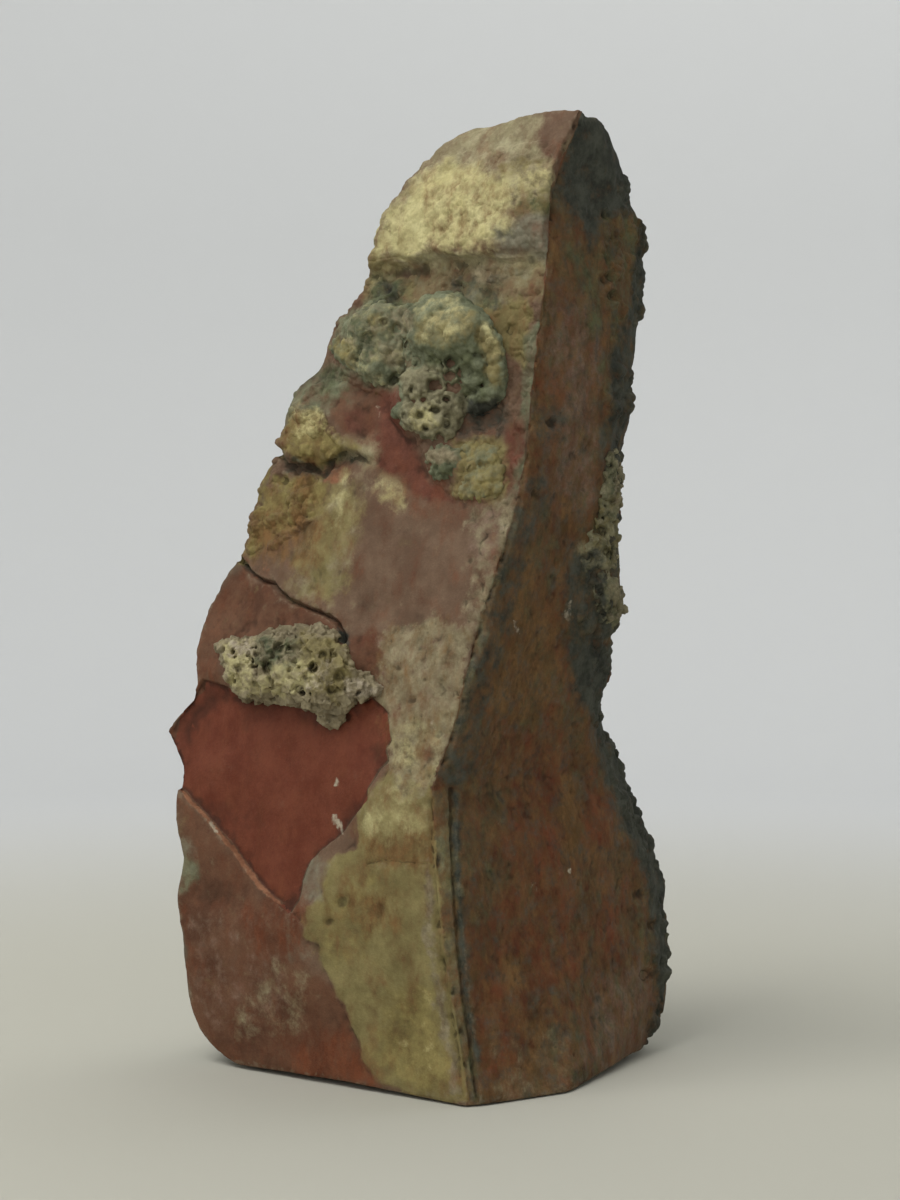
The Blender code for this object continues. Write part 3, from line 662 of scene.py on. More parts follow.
BACK_SWELLS = (0.7, 14.0, 2, 63)  # height, size, layers and seed
FLAKE_RIPPLE, FLAKE_RIPPLE_LENGTH = 0.05, 4.2
FOOT = (0.2, 2.5)  # nothing moves below the first height, and everything does above the second


# Noise


def lattice(seed):
    """A shuffled table and the directions that the noise below reads."""
    rng = np.random.default_rng(seed)
    directions = rng.normal(size=(256, 3)).astype(np.float32)
    directions /= np.linalg.norm(directions, axis=1)[:, None]
    return rng.permutation(256).astype(np.int32), directions


def slots(table, cell):
    """The table's entry for each cell of the lattice."""
    cell = cell & 255
    return table[(table[(table[cell[:, 0]] + cell[:, 1]) & 255] + cell[:, 2]) & 255]


def noise(places, grain, seed=0):
    """Smooth noise from about -1 to 1 with features of a given size."""
    table, directions = lattice(seed)
    places = (places / grain).astype(np.float32)
    cell = np.floor(places)
    inside = places - cell
    cell = cell.astype(np.int32)
    ease = inside ** 3 * (inside * (inside * 6 - 15) + 10)
    shares = (1 - ease, ease)
    total = np.zeros(len(places), np.float32)
    for corner in itertools.product((0, 1), repeat=3):
        x, y, z = (shares[end][:, axis] for axis, end in enumerate(corner))
        reach = inside - np.array(corner, np.float32)
        slope = directions[slots(table, cell + np.array(corner, np.int32))]
        total += x * y * z * np.einsum("ij,ij->i", slope, reach)
    return total * 1.6


def layered(places, grain, octaves, seed=0):
    """Noise with finer and fainter noise on top."""
    return sum(noise(places, grain / 2 ** octave, seed + octave) / 2 ** octave for octave in range(octaves))


def knobs(places, grain, seed=0):
    """Rounded knobs packed side by side: 1 on top of each and 0 in the creases between them."""
    table, _ = lattice(seed)
    jitter = np.random.default_rng(seed + 1).random((256, 3)).astype(np.float32)
    places = (places / grain).astype(np.float32)
    cell = np.floor(places)
    inside = places - cell
    cell = cell.astype(np.int32)
    nearest = np.full(len(places), 9.0, np.float32)
    for offset in itertools.product((-1, 0, 1), repeat=3):
        reach = jitter[slots(table, cell + np.array(offset, np.int32))]
        reach = reach + np.array(offset, np.float32) - inside
        nearest = np.minimum(nearest, np.einsum("ij,ij->i", reach, reach))
    return np.clip(1 - 1.25 * nearest, 0, 1)


def smooth(value, low, high):
    """Runs smoothly from 0 at low to 1 at high."""
    share = np.clip((value - low) / (high - low), 0, 1)
    return share * share * (3 - 2 * share)


# Places in the view


def to_view(places):
    """Pixels (u, v) at which points in millimetres show."""
    depth = places[:, 1] - VIEW_PLACE[1]
    u = VIEW_SIZE[0] / 2 + FOCAL_PIXELS * (places[:, 0] - VIEW_PLACE[0]) / depth
    v = VIEW_SIZE[1] / 2 - FOCAL_PIXELS * (places[:, 2] - VIEW_PLACE[2]) / depth
    return u, v


def from_view(u, v, depth):
    """The point in millimetres that shows at a pixel, at a depth from the camera."""
    x = VIEW_PLACE[0] + (u - VIEW_SIZE[0] / 2) * depth / FOCAL_PIXELS
    z = VIEW_PLACE[2] - (v - VIEW_SIZE[1] / 2) * depth / FOCAL_PIXELS
    return Vector((x, VIEW_PLACE[1] + depth, z))


def segments(points, closed):
    """The pairs of points that a line runs between."""
    ends = points[1:] + points[:1] if closed else points[1:]
    return list(zip(points, ends))


def line_distance(u, v, points, closed=False):
    """Distance in millimetres on the stone from a line, and on which side of it: positive is above."""
    nearest = np.full(len(u), np.inf)
    side = np.zeros(len(u))
    for (au, av), (bu, bv) in segments(points, closed):
        run_u, run_v = bu - au, bv - av
        along = np.clip(((u - au) * run_u + (v - av) * run_v) / (run_u ** 2 + run_v ** 2), 0, 1)
        away = np.hypot(u - au - along * run_u, v - av - along * run_v)
        closer = away < nearest
        nearest = np.where(closer, away, nearest)
        side = np.where(closer, np.sign((u - au) * run_v - (v - av) * run_u), side)
    return nearest / PIXELS_PER_MM, side


def inside_distance(u, v, outline):
    """Distance in millimetres from an outline, positive inside it."""
    edges = np.array(outline, float)
    near = FAR_LEVEL * WIDEST_EDGE * PIXELS_PER_MM
    low, high = edges.min(axis=0) - near, edges.max(axis=0) + near
    close = (u > low[0]) & (u < high[0]) & (v > low[1]) & (v < high[1])
    result = np.full(len(u), -1000.0)  # far outside
    u, v = u[close], v[close]
    within = np.zeros(len(u), bool)
    for (au, av), (bu, bv) in segments(outline, True):
        if av != bv:
            within ^= ((av > v) != (bv > v)) & (u < (bu - au) * (v - av) / (bv - av) + au)
    away, _ = line_distance(u, v, outline, True)
    result[close] = np.where(within, away, -away)
    return result


class Chart:
    """Where each point of a mesh lies: its pixels in the view, and how far it is from the faces' borders."""

    def __init__(self, places, outline):
        self.places = places
        self.u, self.v = to_view(places)
        self.bend = [PIXELS_PER_MM * (1.1 * noise(places, 6.0, seed) + 0.5 * noise(places, 1.9, seed + 1))
                     for seed in BEND_SEEDS]
        heights, left, right = outline
        x, y, z = places.T
        left_x, left_y = (np.interp(z, heights, left[:, axis]) for axis in (0, 1))
        right_x, right_y = (np.interp(z, heights, right[:, axis]) for axis in (0, 1))
        run_x, run_y = right_x - left_x, right_y - left_y
        self.front = ((x - left_x) * run_y - (y - left_y) * run_x) / np.hypot(run_x, run_y)
        ridge = np.array(RIDGE_LINE, float)
        self.right = (self.u - np.interp(self.v, ridge[:, 1], ridge[:, 0])) / PIXELS_PER_MM

    def bent(self, share):
        """Pixels moved about by noise, so that outlines read in them wander."""
        return self.u + share * self.bend[0], self.v + share * self.bend[1]


def side_edges(places, step=4.0):
    """The stone's left and right extremes at each height, smoothed."""
    heights = np.arange(0, places[:, 2].max(), step)
    left, right = [], []
    for height in heights:
        band = places[np.abs(places[:, 2] - height) < step * 0.75]
        left.append(band[band[:, 0].argmin(), :2])
        right.append(band[band[:, 0].argmax(), :2])
    left, right = np.array(left), np.array(right)
    for _ in range(2):
        left[1:-1] = (left[:-2] + left[1:-1] + left[2:]) / 3
        right[1:-1] = (right[:-2] + right[1:-1] + right[2:]) / 3
    return heights, left, right


# Meshes


def read_places(mesh):
    """Every vertex in millimetres."""
    flat = np.empty(len(mesh.vertices) * 3, np.float32)
    mesh.vertices.foreach_get("co", flat)
    return flat.reshape(-1, 3) / MM


def read_normals(mesh):
    """Every vertex's outward direction."""
    flat = np.empty(len(mesh.vertices) * 3, np.float32)
    mesh.vertex_normals.foreach_get("vector", flat)
    return flat.reshape(-1, 3)


def write_places(mesh, places):
    """Moves every vertex to a place in millimetres."""
    mesh.vertices.foreach_set("co", (places * MM).astype(np.float32).ravel())
    mesh.update()


def write_value(mesh, name, values):
    """Stores one number for each vertex under a name that the materials read."""
    layer = mesh.attributes.new(name, "FLOAT", "POINT")
    layer.data.foreach_set("value", np.asarray(values, np.float32))


def averaged(mesh, values, rounds):
    """Values averaged with those of the neighbouring vertices, several times over."""
    ends = np.empty(len(mesh.edges) * 2, np.int32)
    mesh.edges.foreach_get("vertices", ends)
    first, second = ends.reshape(-1, 2).T
    count = len(mesh.vertices)
    links = np.bincount(first, minlength=count) + np.bincount(second, minlength=count) + 1
    columns = [values] if values.ndim == 1 else list(values.T)
    for _ in range(rounds):
        columns = [
            (column + np.bincount(first, column[second], count) + np.bincount(second, column[first], count))
            / links for column in columns]
    return columns[0] if values.ndim == 1 else np.stack(columns, axis=1)


def new_object(name, data):
    """An object of its own for a mesh, a lamp or a camera."""
    piece = bpy.data.objects.new(name, data)
    bpy.context.scene.collection.objects.link(piece)
    return piece


def shaped_by(piece, kind, **settings):
    """Runs one modifier on a piece and keeps its result as the piece's mesh."""
    modifier = piece.modifiers.new(kind, kind)
    for name, value in settings.items():
        setattr(modifier, name, value)
    graph = bpy.context.evaluated_depsgraph_get()
    mesh = bpy.data.meshes.new_from_object(piece.evaluated_get(graph))
    piece.modifiers.clear()
    old, piece.data = piece.data, mesh
    bpy.data.meshes.remove(old)


def drop_strays(mesh):
    """Takes out what thinning leaves behind: triangles that lie back to back, and points without a face."""
    bm = bmesh.new()
    bm.from_mesh(mesh)
    corners = [frozenset(vert.index for vert in face.verts) for face in bm.faces]
    uses = Counter(corners)
    doubled = [face for face, key in zip(bm.faces, corners) if uses[key] > 1]
    bmesh.ops.delete(bm, geom=doubled, context="FACES")
    loose = [vert for vert in bm.verts if not vert.link_faces]
    bmesh.ops.delete(bm, geom=loose, context="VERTS")
    if doubled or loose:
        bm.to_mesh(mesh)
    bm.free()


def thin(piece, triangles):
    """Takes triangles off where the surface is plain, until few enough are left."""
    piece.data.calc_loop_triangles()
    now = len(piece.data.loop_triangles)
    if now > triangles:
        shaped_by(piece, "DECIMATE", decimate_type="COLLAPSE", ratio=triangles / now)
    drop_strays(piece.data)


def hollows(mesh):
    """How far each vertex lies below its surroundings, close by and farther off."""
    places, normals = read_places(mesh), read_normals(mesh)
    near = averaged(mesh, places, 2)
    far = averaged(mesh, near, 14)
    return ((near - places) * normals).sum(axis=1), ((far - places) * normals).sum(axis=1)


def patch_level(u, v, patches, least=-FAR_LEVEL):
    """How far inside its nearest patch each point lies, in widths of the patch's edge."""
    level = np.full(len(u), least)
    for outline, edge, fullness in patches:
        level = np.maximum(level, np.minimum(inside_distance(u, v, outline) / edge, fullness))
    return level


def blot_level(places, blots):
    """The same for round blots given in millimetres."""
    level = np.full(len(places), -FAR_LEVEL)
    for x, y, height, radius, edge, fullness in blots:
        away = np.linalg.norm(places - (x, y, height), axis=1)
        level = np.maximum(level, np.minimum((radius - away) / edge, fullness))
    return level


def write_hollows(mesh):
    """Stores how far each vertex lies below its surroundings."""
    near, far = hollows(mesh)
    write_value(mesh, "hollow", near)
    write_value(mesh, "dip", far)


def write_minerals(mesh, chart):
    """Stores where each mineral lies on the stone's skin, with the painted shade and highlights laid in
    minerals' tones.
    """
    places = chart.places
    front = smooth(chart.front + noise(places, 7.0, 5) * 2.0, -0.8, 0.8)
    right = smooth(chart.right + noise(places, 2.2, 6) * 0.3, -0.15, 0.15)
    wander = np.stack([9.0 * noise(places, 16.0, seed) + 3.0 * noise(places, 4.0, seed + 3)
                       for seed in WANDER_SEEDS], axis=1)
    for name in SKIN_LAYERS:
        u, v = chart.bent(CRISP_BEND if name in CRISP else LOOSE_BEND)
        left_trace, right_trace = TRACES.get(name, NO_TRACE)
        left_level = patch_level(u, v, LEFT_FACE.get(name, []), left_trace)
        right_level = patch_level(u, v, RIGHT_FACE.get(name, []), right_trace)
        back_level = blot_level(places + wander, BACK.get(name, []))
        level = left_level * (1 - right) + right_level * right
        write_value(mesh, name, np.clip(level * front + back_level * (1 - front), -FAR_LEVEL, FAR_LEVEL))
    write_value(mesh, "front_face", front)
    write_value(mesh, "right_face", right)
    write_hollows(mesh)


# The skin


def base_skin(shape):
    """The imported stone's mesh, merged, creased along its sharp edges and divided finely; made once."""
    mesh = bpy.data.meshes.get("base_skin")
    if mesh is None:
        bm = bmesh.new()
        bm.from_mesh(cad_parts["stone"].data)
        bmesh.ops.remove_doubles(bm, verts=bm.verts, dist=1e-6)
        crease = bm.edges.layers.float.new("crease_edge")
        for edge in bm.edges:
            if len(edge.link_faces) == 2:
                angle = math.degrees(edge.calc_face_angle(0))
                edge[crease] = min(MOST_CREASE, max(0.0, (angle - SOFT_ANGLE) / CREASE_SPAN))
        mesh = bpy.data.meshes.new("base_skin")
        bm.to_mesh(mesh)
        bm.free()
        mesh.materials.clear()
        piece = new_object("base_skin", mesh)
        shaped_by(piece, "SUBSURF", levels=shape.levels, render_levels=shape.levels)
        mesh = piece.data
        bpy.data.objects.remove(piece)
        mesh.name = "base_skin"
        mesh.use_fake_user = True
    return mesh, side_edges(read_places(mesh))


def refine_near_lines(piece, chart):
    """Divides the faces along the crack, the slanting step and the red facet's border once or twice more."""
    mesh = piece.data
    front = chart.front > -1
    fine, _ = line_distance(chart.u, chart.v, CRACK)
    slant, _ = line_distance(chart.u, chart.v, SLANT)
    border = np.abs(inside_distance(*chart.bent(CRISP_BEND), FACET_OUTLINE))
    bm = bmesh.new()
    bm.from_mesh(mesh)
    bm.verts.ensure_lookup_table()
    for near, reach, cuts in ((fine, 0.9, 2), (np.minimum(slant, border), 0.6, 1)):
        chosen = set(np.nonzero((near < reach) & front)[0].tolist())
        verts = [bm.verts[index] for index in chosen]
        edges = {edge for vert in verts for edge in vert.link_edges if edge.other_vert(vert).index in chosen}
        bmesh.ops.subdivide_edges(bm, edges=list(edges), cuts=cuts, use_grid_fill=True)
        bm.verts.ensure_lookup_table()
    bm.to_mesh(mesh)
    bm.free()


def groove(away, width, depth):
    """A rounded groove along a line."""
    return -depth * smooth(away, width / 2, width * 0.1)


def only_where(mask, places, pattern, *settings):
    """A pattern worked out only at the points where a mask is above zero, and zero elsewhere."""
    result = np.zeros(len(places), np.float32)
    some = mask > 0.001
    result[some] = pattern(places[some], *settings) * mask[some]
    return result


def drift_of(places):
    """Noise that makes steps and grooves wander."""
    return noise(places, 2.6, 3) * 0.5 + noise(places, 0.9, 4) * 0.22


def on_front(chart):
    """1 on the front and 0 on the back, with a soft border between."""
    return smooth(chart.front, -1.5, 1.5)


def ledges(shape, chart, drift):
    """The steps, grooves and cracks of the left face."""
    u, v = chart.u, chart.v
    left = on_front(chart) * (1 - smooth(chart.right, -0.2, 0.2))
    rise = -shape.facet_step * smooth(inside_distance(*chart.bent(CRISP_BEND), FACET_OUTLINE), -0.25, 0.25)
    rise += PANEL_RISE * smooth(inside_distance(*chart.bent(0.6), PANEL_OUTLINE), -0.4, 0.5)
    away, side = line_distance(u, v, SLANT)
    below = smooth(-side * away + drift * 0.1, -0.12, 0.12) * smooth(away, 9.0, 3.0)
    rise += shape.slant_step * below * (v > SLANT_TOP)

    away, side = line_distance(*chart.bent(0.5), LIP)
    under = smooth(-side * away, -0.5, 1.3) * smooth(-side * away, 8.0, 2.5)
    rise -= shape.lip_depth * under * smooth(u, *LIP_START) * smooth(u, *LIP_END)
    away, side = line_distance(*chart.bent(0.5), LEDGE)
    rise += groove(away + drift * 0.5, CREVICE_WIDTH, shape.ledge_depth) * smooth(u, *LEDGE_END)
    shelf = smooth(side * away, 0.0, 1.0) * smooth(side * away, 6.0, 2.0)
    rise += SHELF_RISE * shelf * smooth(u, *SHELF_END)

    away, _ = line_distance(u, v, CRACK)
    width = shape.crack_width * (1 + 0.5 * noise(chart.places, 1.7, 8))
    rise -= shape.crack_depth * np.clip(1 - away / width, 0, 1) ** 0.7
    away, _ = line_distance(u, v, PANEL_SPLIT)
    rise += groove(away, PANEL_SPLIT_WIDTH, PANEL_SPLIT_DEPTH)
    return rise * left


def pitted(chart, drift):
    """Single pits and pocks."""
    rise = np.zeros(len(chart.u))
    for pit_u, pit_v, radius, depth in PITS:
        away = np.hypot(chart.u - pit_u, chart.v - pit_v) / radius + drift * 0.35
        rise -= depth * np.clip(1 - away ** 2, 0, 1)
    return rise * on_front(chart)


# The right face's upright streaks: (share of their height, how drawn out they are, pattern, its settings)
STREAKS = ((0.5, 0.5, noise, 2.0, 51), (1.0, 0.6, layered, 5.5, 3, 53), (0.9, 0.3, knobs, 6.0, 55))
SPECKS = (0.5, 1.1, 57)  # share of the streaks' height, size and seed of the fine roughness between them


def skin_relief(shape, chart):
    """How far each point of the skin is moved outwards, in millimetres."""
    places = chart.places
    front = on_front(chart)
    right = front * smooth(chart.right, 0.4, 1.4)
    drift = drift_of(places)

    clean = np.zeros(len(places))
    for outline, edge in SMOOTH:
        clean = np.maximum(clean, smooth(inside_distance(*chart.bent(LOOSE_BEND), outline), -edge, edge))
    rough = 1 - CLEAN_SHARE * clean * front
    rise = shape.grain * rough * sum(share * layered(places, *swell) for share, *swell in BODY_GRAIN)
    for outline, edge, grain, height in KNOBBLY:
        here = smooth(inside_distance(*chart.bent(0.8), outline), -edge, edge) * front
        rise += height * (only_where(here, places, knobs, grain, KNOB_SEED) - 0.5 * here)

    rise += ledges(shape, chart, drift) + pitted(chart, drift)
    for line, depth in RIDGE_GROOVES:
        away, _ = line_distance(chart.u, chart.v, line)
        rise += groove(away + drift * 0.4, RIDGE_GROOVE_WIDTH, depth) * front

    edge_of_ridge = np.exp(-(chart.right / 1.4) ** 2) * front
    coarse, fine = (noise(places, grain, seed) for grain, seed in CHIP_NOISE)
    rise -= shape.chip * np.clip(coarse + 0.6 * fine - 0.05, 0, 1) * edge_of_ridge

    for share, drawn, pattern, *settings in STREAKS:
        rise += share * shape.streak * only_where(right, places * (1, 1, drawn), pattern, *settings)
    share, *settings = SPECKS
    rise += share * shape.streak * only_where(right, places, noise, *settings)

    back = 1 - front
    rise += sum(height * only_where(back, places, knobs, *knob) for height, *knob in BACK_KNOBS) - 0.5 * back
    height, *swells = BACK_SWELLS
    rise += height * only_where(back, places, layered, *swells)
    for x, y, height, radius in FLAKES:
        away = np.linalg.norm(places - (x, y, height), axis=1)
        within = smooth(away, radius * 0.95, radius * 0.55) * back
        wave = away * 2 * math.pi / FLAKE_RIPPLE_LENGTH + 2 * only_where(within, places, noise, 9.0, 64)
        ripple = FLAKE_RIPPLE * np.sin(wave)
        rise += within * (ripple - 0.35 * rise)
    return rise


def foot_fade(places):
    """Nothing moves at the foot, so the stone keeps its flat spot."""
    return smooth(places[:, 2], *FOOT)


def build_body(shape):
    """The stone's skin, worn and broken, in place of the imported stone."""
    base, outline = base_skin(shape)
    piece = new_object("stone_body", base.copy())
    refine_near_lines(piece, Chart(read_places(piece.data), outline))
    mesh = piece.data
    chart = Chart(read_places(mesh), outline)
    rise = skin_relief(shape, chart) * foot_fade(chart.places)
    places = chart.places + read_normals(mesh) * rise[:, None]
    places[:, 2] = np.maximum(places[:, 2], 0)
    write_places(mesh, places)
    thin(piece, shape.triangles)
    piece.data.shade_smooth()
    write_minerals(piece.data, Chart(read_places(piece.data), outline))
    return piece


def build_rough_skin(name, shape):
    """A closed piece of finer and rougher skin over part of the stone. Its border is sunk into the body."""
    outline_pixels, wrap, lift, grains, swell, pocks = ROUGH_SKINS[name]
    base, outline = base_skin(shape)

    def reach(chart):
        """How far inside the skin's outline, and below its top, each point lies."""
        across = np.minimum(inside_distance(*chart.bent(0.8), outline_pixels), chart.front + wrap)
        return np.minimum(across, SKIN_TOP - chart.places[:, 2])

    piece = new_object(name, base.copy())
    kept = np.nonzero(reach(Chart(read_places(base), outline)) > -SKIN_MARGIN)[0]
    piece.vertex_groups.new(name="kept").add(kept.tolist(), 1.0, "REPLACE")
    shaped_by(piece, "MASK", vertex_group="kept")
    piece.vertex_groups.clear()
    shaped_by(piece, "SUBSURF", levels=1, render_levels=1)
    chart, normals = Chart(read_places(piece.data), outline), read_normals(piece.data)
    places = chart.places
    inside = reach(chart)
    rise = sum(height * (knobs(places, grain, KNOB_SEED + order) - 0.6)
               for order, (grain, height) in enumerate(grains))
    rise = rise + swell * layered(places, 7.0, 2, 35)
    gate = smooth(noise(places, 5.0, 37), 0.05, 0.45)
    torn = places + 0.9 * noise(places, 1.8, 39)[:, None] * (1, -1, 1)
    rise -= pocks * gate * smooth(knobs(torn, 3.2, 38), 0.72, 0.95)
    drift = drift_of(places)
    rise = shape.rough * rise + ledges(shape, chart, drift) + pitted(chart, drift)
    rise = rise * smooth(inside, -0.6, 1.4) + (lift + SKIN_SINK) * smooth(inside, -1.0, 1.2) - SKIN_SINK
    raised = places + normals * (rise * foot_fade(places))[:, None]
    shaped_by(piece, "SOLIDIFY", thickness=SKIN_THICKNESS * MM, offset=-1.0)
    whole = read_places(piece.data)
    whole[:len(raised)] = raised
    whole[:, 2] = np.maximum(whole[:, 2], 0)
    write_places(piece.data, whole)
    thin(piece, shape.skin_triangles)
    piece.data.shade_smooth()
    write_minerals(piece.data, Chart(read_places(piece.data), outline))
    return piece


# The crusts


PIXEL_SEARCH = 60  # how many pixels beside its own a lump looks for the stone
FAR_DEPTH = 1000.0  # behind the stone, from the camera


def surface_under(tree, u, v):
    """The skin's point and outward direction at a pixel, or beside it where the pixel misses the stone."""
    eye = Vector(VIEW_PLACE) * MM
    towards = 1 if u < VIEW_SIZE[0] / 2 else -1
    for step in range(PIXEL_SEARCH):
        far = from_view(u + towards * step, v, FAR_DEPTH) * MM
        place, normal, _, _ = tree.ray_cast(eye, (far - eye).normalized())
        if place is not None:
            place = place / MM
            return from_view(u, v, place.y - VIEW_PLACE[1]), normal
    raise ValueError(f"no stone lies near pixel {u:.0f}, {v:.0f}")


def scattered(outline, count, rng):
    """Points spread evenly inside an outline, with how far inside each lies from 0 to 1."""
    low, high = np.min(outline, axis=0), np.max(outline, axis=0)
    tries = rng.random((count * 12, 2)) * (high - low) + low
    deep = inside_distance(tries[:, 0], tries[:, 1], outline)
    tries, deep = tries[deep > 0], deep[deep > 0]
    spacing = 0.55 * math.sqrt((high - low).prod() / count)
    kept = []
    for index, spot in enumerate(tries):
        if len(kept) == count:
            break
        if not kept or np.hypot(*(tries[kept] - spot).T).min() > spacing:
            kept.append(index)
    return [(*tries[index], deep[index] / deep.max()) for index in kept]


def lobe_lumps(tree, outline, radii, thickness, count, rng):
    """The lumps of a pad that is thickest in its middle and thins out at its rim: (place, radius)."""
    lumps = []
    for u, v, deep in scattered(outline, count, rng):
        place, normal = surface_under(tree, u, v)
        radius = rng.uniform(*radii) * (0.6 + 0.4 * min(1, deep * 2))
        dome = thickness * math.sqrt(min(1, deep * 1.4)) * rng.uniform(1 - 0.35 / radius, 1 + 0.15 / radius)
        lumps.append((place + normal * (dome - radius * 0.6), radius))
        if dome > radius:
            lumps.append((place + normal * dome * 0.3, radius * 1.3))
    return lumps


def crystal_lumps(tree, outline, size_range, thickness, count, rng):
    """Small blocks that stand on a pad: (place, size)."""
    blocks = []
    for u, v, deep in scattered(outline, count, rng):
        place, normal = surface_under(tree, u, v)
        dome = thickness * math.sqrt(min(1, deep * 2)) * rng.uniform(0.65, 1.15)
        blocks.append((place + normal * dome, rng.uniform(*size_range)))
    return blocks


def heap(rng, lumps, blocks=(), batch_size=40):
    """All the lumps and blocks in one bmesh, each squashed and turned its own way. They are made a few at a
    time, because each new one takes longer in a large bmesh."""
    whole = bmesh.new()
    parts = [(bmesh.ops.create_icosphere, {"subdivisions": 2, "radius": radius * MM}, place)
             for place, radius in lumps]
    parts += [(bmesh.ops.create_cube, {"size": width * MM}, place) for place, width in blocks]
    for start in range(0, len(parts), batch_size):
        batch = bmesh.new()
        for create, sizes, place in parts[start:start + batch_size]:
            turn = Euler(rng.uniform(0, 2 * math.pi, 3)).to_matrix().to_4x4()
            stretch = Matrix.Diagonal((*rng.uniform(0.75, 1.25, 3), 1))
            create(batch, matrix=Matrix.Translation(place * MM) @ turn @ stretch, **sizes)
        mesh = bpy.data.meshes.new("batch")
        batch.to_mesh(mesh)
        batch.free()
        whole.from_mesh(mesh)
        bpy.data.meshes.remove(mesh)
    return whole


def fused(name, bm, voxel):
    """Joins a heap of lumps into one closed skin."""
    mesh = bpy.data.meshes.new(name)
    bm.to_mesh(mesh)
    bm.free()
    piece = new_object(name, mesh)
    shaped_by(piece, "REMESH", mode="VOXEL", voxel_size=voxel * MM)
    return piece


def bored(places, holes):
    """How deep the holes of a crust reach at each point."""
    u, v = to_view(places)
    wobble = noise(places, 1.6, 71) * 0.35
    depth = np.zeros(len(u))
    for hole_u, hole_v, radius, deep in holes:
        away = np.hypot(u - hole_u, v - hole_v) / radius + wobble
        depth = np.maximum(depth, deep * smooth(away, 1.4, 0.4))
    return depth


def finish_crust(piece, shape, grains, holes, minerals, seed):
    """Gives a crust its grains and holes, and stores where its minerals lie."""
    mesh = piece.data
    places, normals = read_places(mesh), read_normals(mesh)
    rise = sum(height * (2 * knobs(places, grain, seed + order) - 1.2)
               for order, (grain, height) in enumerate(grains))
    rise += grains[0][1] * layered(places, grains[0][0] * 2.4, 2, seed)
    places = places + normals * rise[:, None]
    towards = places - np.array(VIEW_PLACE)
    towards /= np.linalg.norm(towards, axis=1)[:, None]
    facing = smooth(-(normals * towards).sum(axis=1), -0.1, 0.5)
    write_places(mesh, places + towards * (bored(places, holes) * facing)[:, None])
    thin(piece, shape.triangles)
    mesh = piece.data
    mesh.shade_smooth()
    places = read_places(mesh)
    u, v = to_view(places)
    u = u + PIXELS_PER_MM * noise(places, 3.0, 75)
    v = v + PIXELS_PER_MM * noise(places, 3.0, 76)
    for name in CRUST_LAYERS:
        write_value(mesh, name, patch_level(u, v, minerals.get(name, [])))
    write_hollows(mesh)


def skin_tree():
    """The finished skin, ready for finding the points that crusts sit on."""
    body = bpy.data.objects.get("stone_body")
    if body is None:
        raise RuntimeError("make the stone's skin before its crusts")
    return BVHTree.FromObject(body, bpy.context.evaluated_depsgraph_get())


UPPER_SEEDS, LOWER_SEEDS, EDGE_SEEDS = (5, 81), (9, 85), (13, 89)  # of each crust's lumps and of its grains


def build_upper_crust(shape):
    """The pebbly green and cream crust high on the left face."""
    lump_seed, grain_seed = UPPER_SEEDS
    rng, tree, lumps = np.random.default_rng(lump_seed), skin_tree(), []
    for outline, radii, thickness, count in UPPER_LOBES:
        lumps += lobe_lumps(tree, outline, radii, thickness, count, rng)
    piece = fused("upper_crust", heap(rng, lumps), shape.upper_voxel)
    grains = ((1.7, shape.upper_grain), (0.75, shape.upper_grain * 0.7))
    finish_crust(piece, shape, grains, UPPER_HOLES, UPPER_MINERALS, grain_seed)
    return piece


def build_lower_crust(shape):
    """The crystal crust above the red facet."""
    lump_seed, grain_seed = LOWER_SEEDS
    rng, tree, pad = np.random.default_rng(lump_seed), skin_tree(), shape.lower_rise - LOWER_LUMP_DROP
    lumps = lobe_lumps(tree, LOWER_OUTLINE, LOWER_LUMP_RADII, pad, LOWER_LUMPS, rng)
    blocks = crystal_lumps(tree, LOWER_OUTLINE, LOWER_CRYSTAL_SIZES, shape.lower_rise, LOWER_CRYSTALS, rng)
    piece = fused("lower_crust", heap(rng, lumps, blocks), shape.lower_voxel)
    finish_crust(piece, shape, ((0.65, shape.lower_grain),), LOWER_HOLES, LOWER_MINERALS, grain_seed)
    return piece


def build_edge_crust(shape):
    """The grainy crust that stands out on the right edge."""
    lump_seed, grain_seed = EDGE_SEEDS
    rng, tree, lumps, blocks = np.random.default_rng(lump_seed), skin_tree(), [], []
    for outline, radii, thickness, count in EDGE_LOBES:
        lumps += lobe_lumps(tree, outline, radii, thickness, count, rng)
        blocks += crystal_lumps(tree, outline, radii, thickness, count, rng)
    piece = fused("edge_crust", heap(rng, lumps, blocks), shape.edge_voxel)
    finish_crust(piece, shape, ((1.3, shape.upper_grain),), EDGE_HOLES, EDGE_MINERALS, grain_seed)
    return piece


# Node trees


def put(tree, kind, inputs=(), **settings):
    """Adds a node. Inputs that are sockets are linked, and others are set."""
    node = tree.nodes.new(kind)
    for name, value in settings.items():
        setattr(node, name, value)
    for name, value in dict(inputs).items():
        if isinstance(value, bpy.types.NodeSocket):
            tree.links.new(value, node.inputs[name])
        else:
            node.inputs[name].default_value = value
    return node


def math_node(tree, operation, first, second, clamp=False):
    """One number worked out from two."""
    settings = {"operation": operation, "use_clamp": clamp}
    return put(tree, "ShaderNodeMath", {0: first, 1: second}, **settings).outputs[0]


def plus(tree, first, second, clamp=False):
    """The sum of two numbers."""
    return math_node(tree, "ADD", first, second, clamp)


def times(tree, first, second, clamp=False):
    """The product of two numbers."""
    return math_node(tree, "MULTIPLY", first, second, clamp)


def blend(tree, share, under, over, kind="MIX"):
    """One colour over another."""
    settings = {"data_type": "RGBA", "blend_type": kind}
    return put(tree, "ShaderNodeMix", {0: share, 6: under, 7: over}, **settings).outputs[2]


def between(tree, share, low, high):
    """A number that runs from low to high."""
    return put(tree, "ShaderNodeMapRange", {0: share, 1: 0.0, 2: 1.0, 3: low, 4: high}).outputs[0]


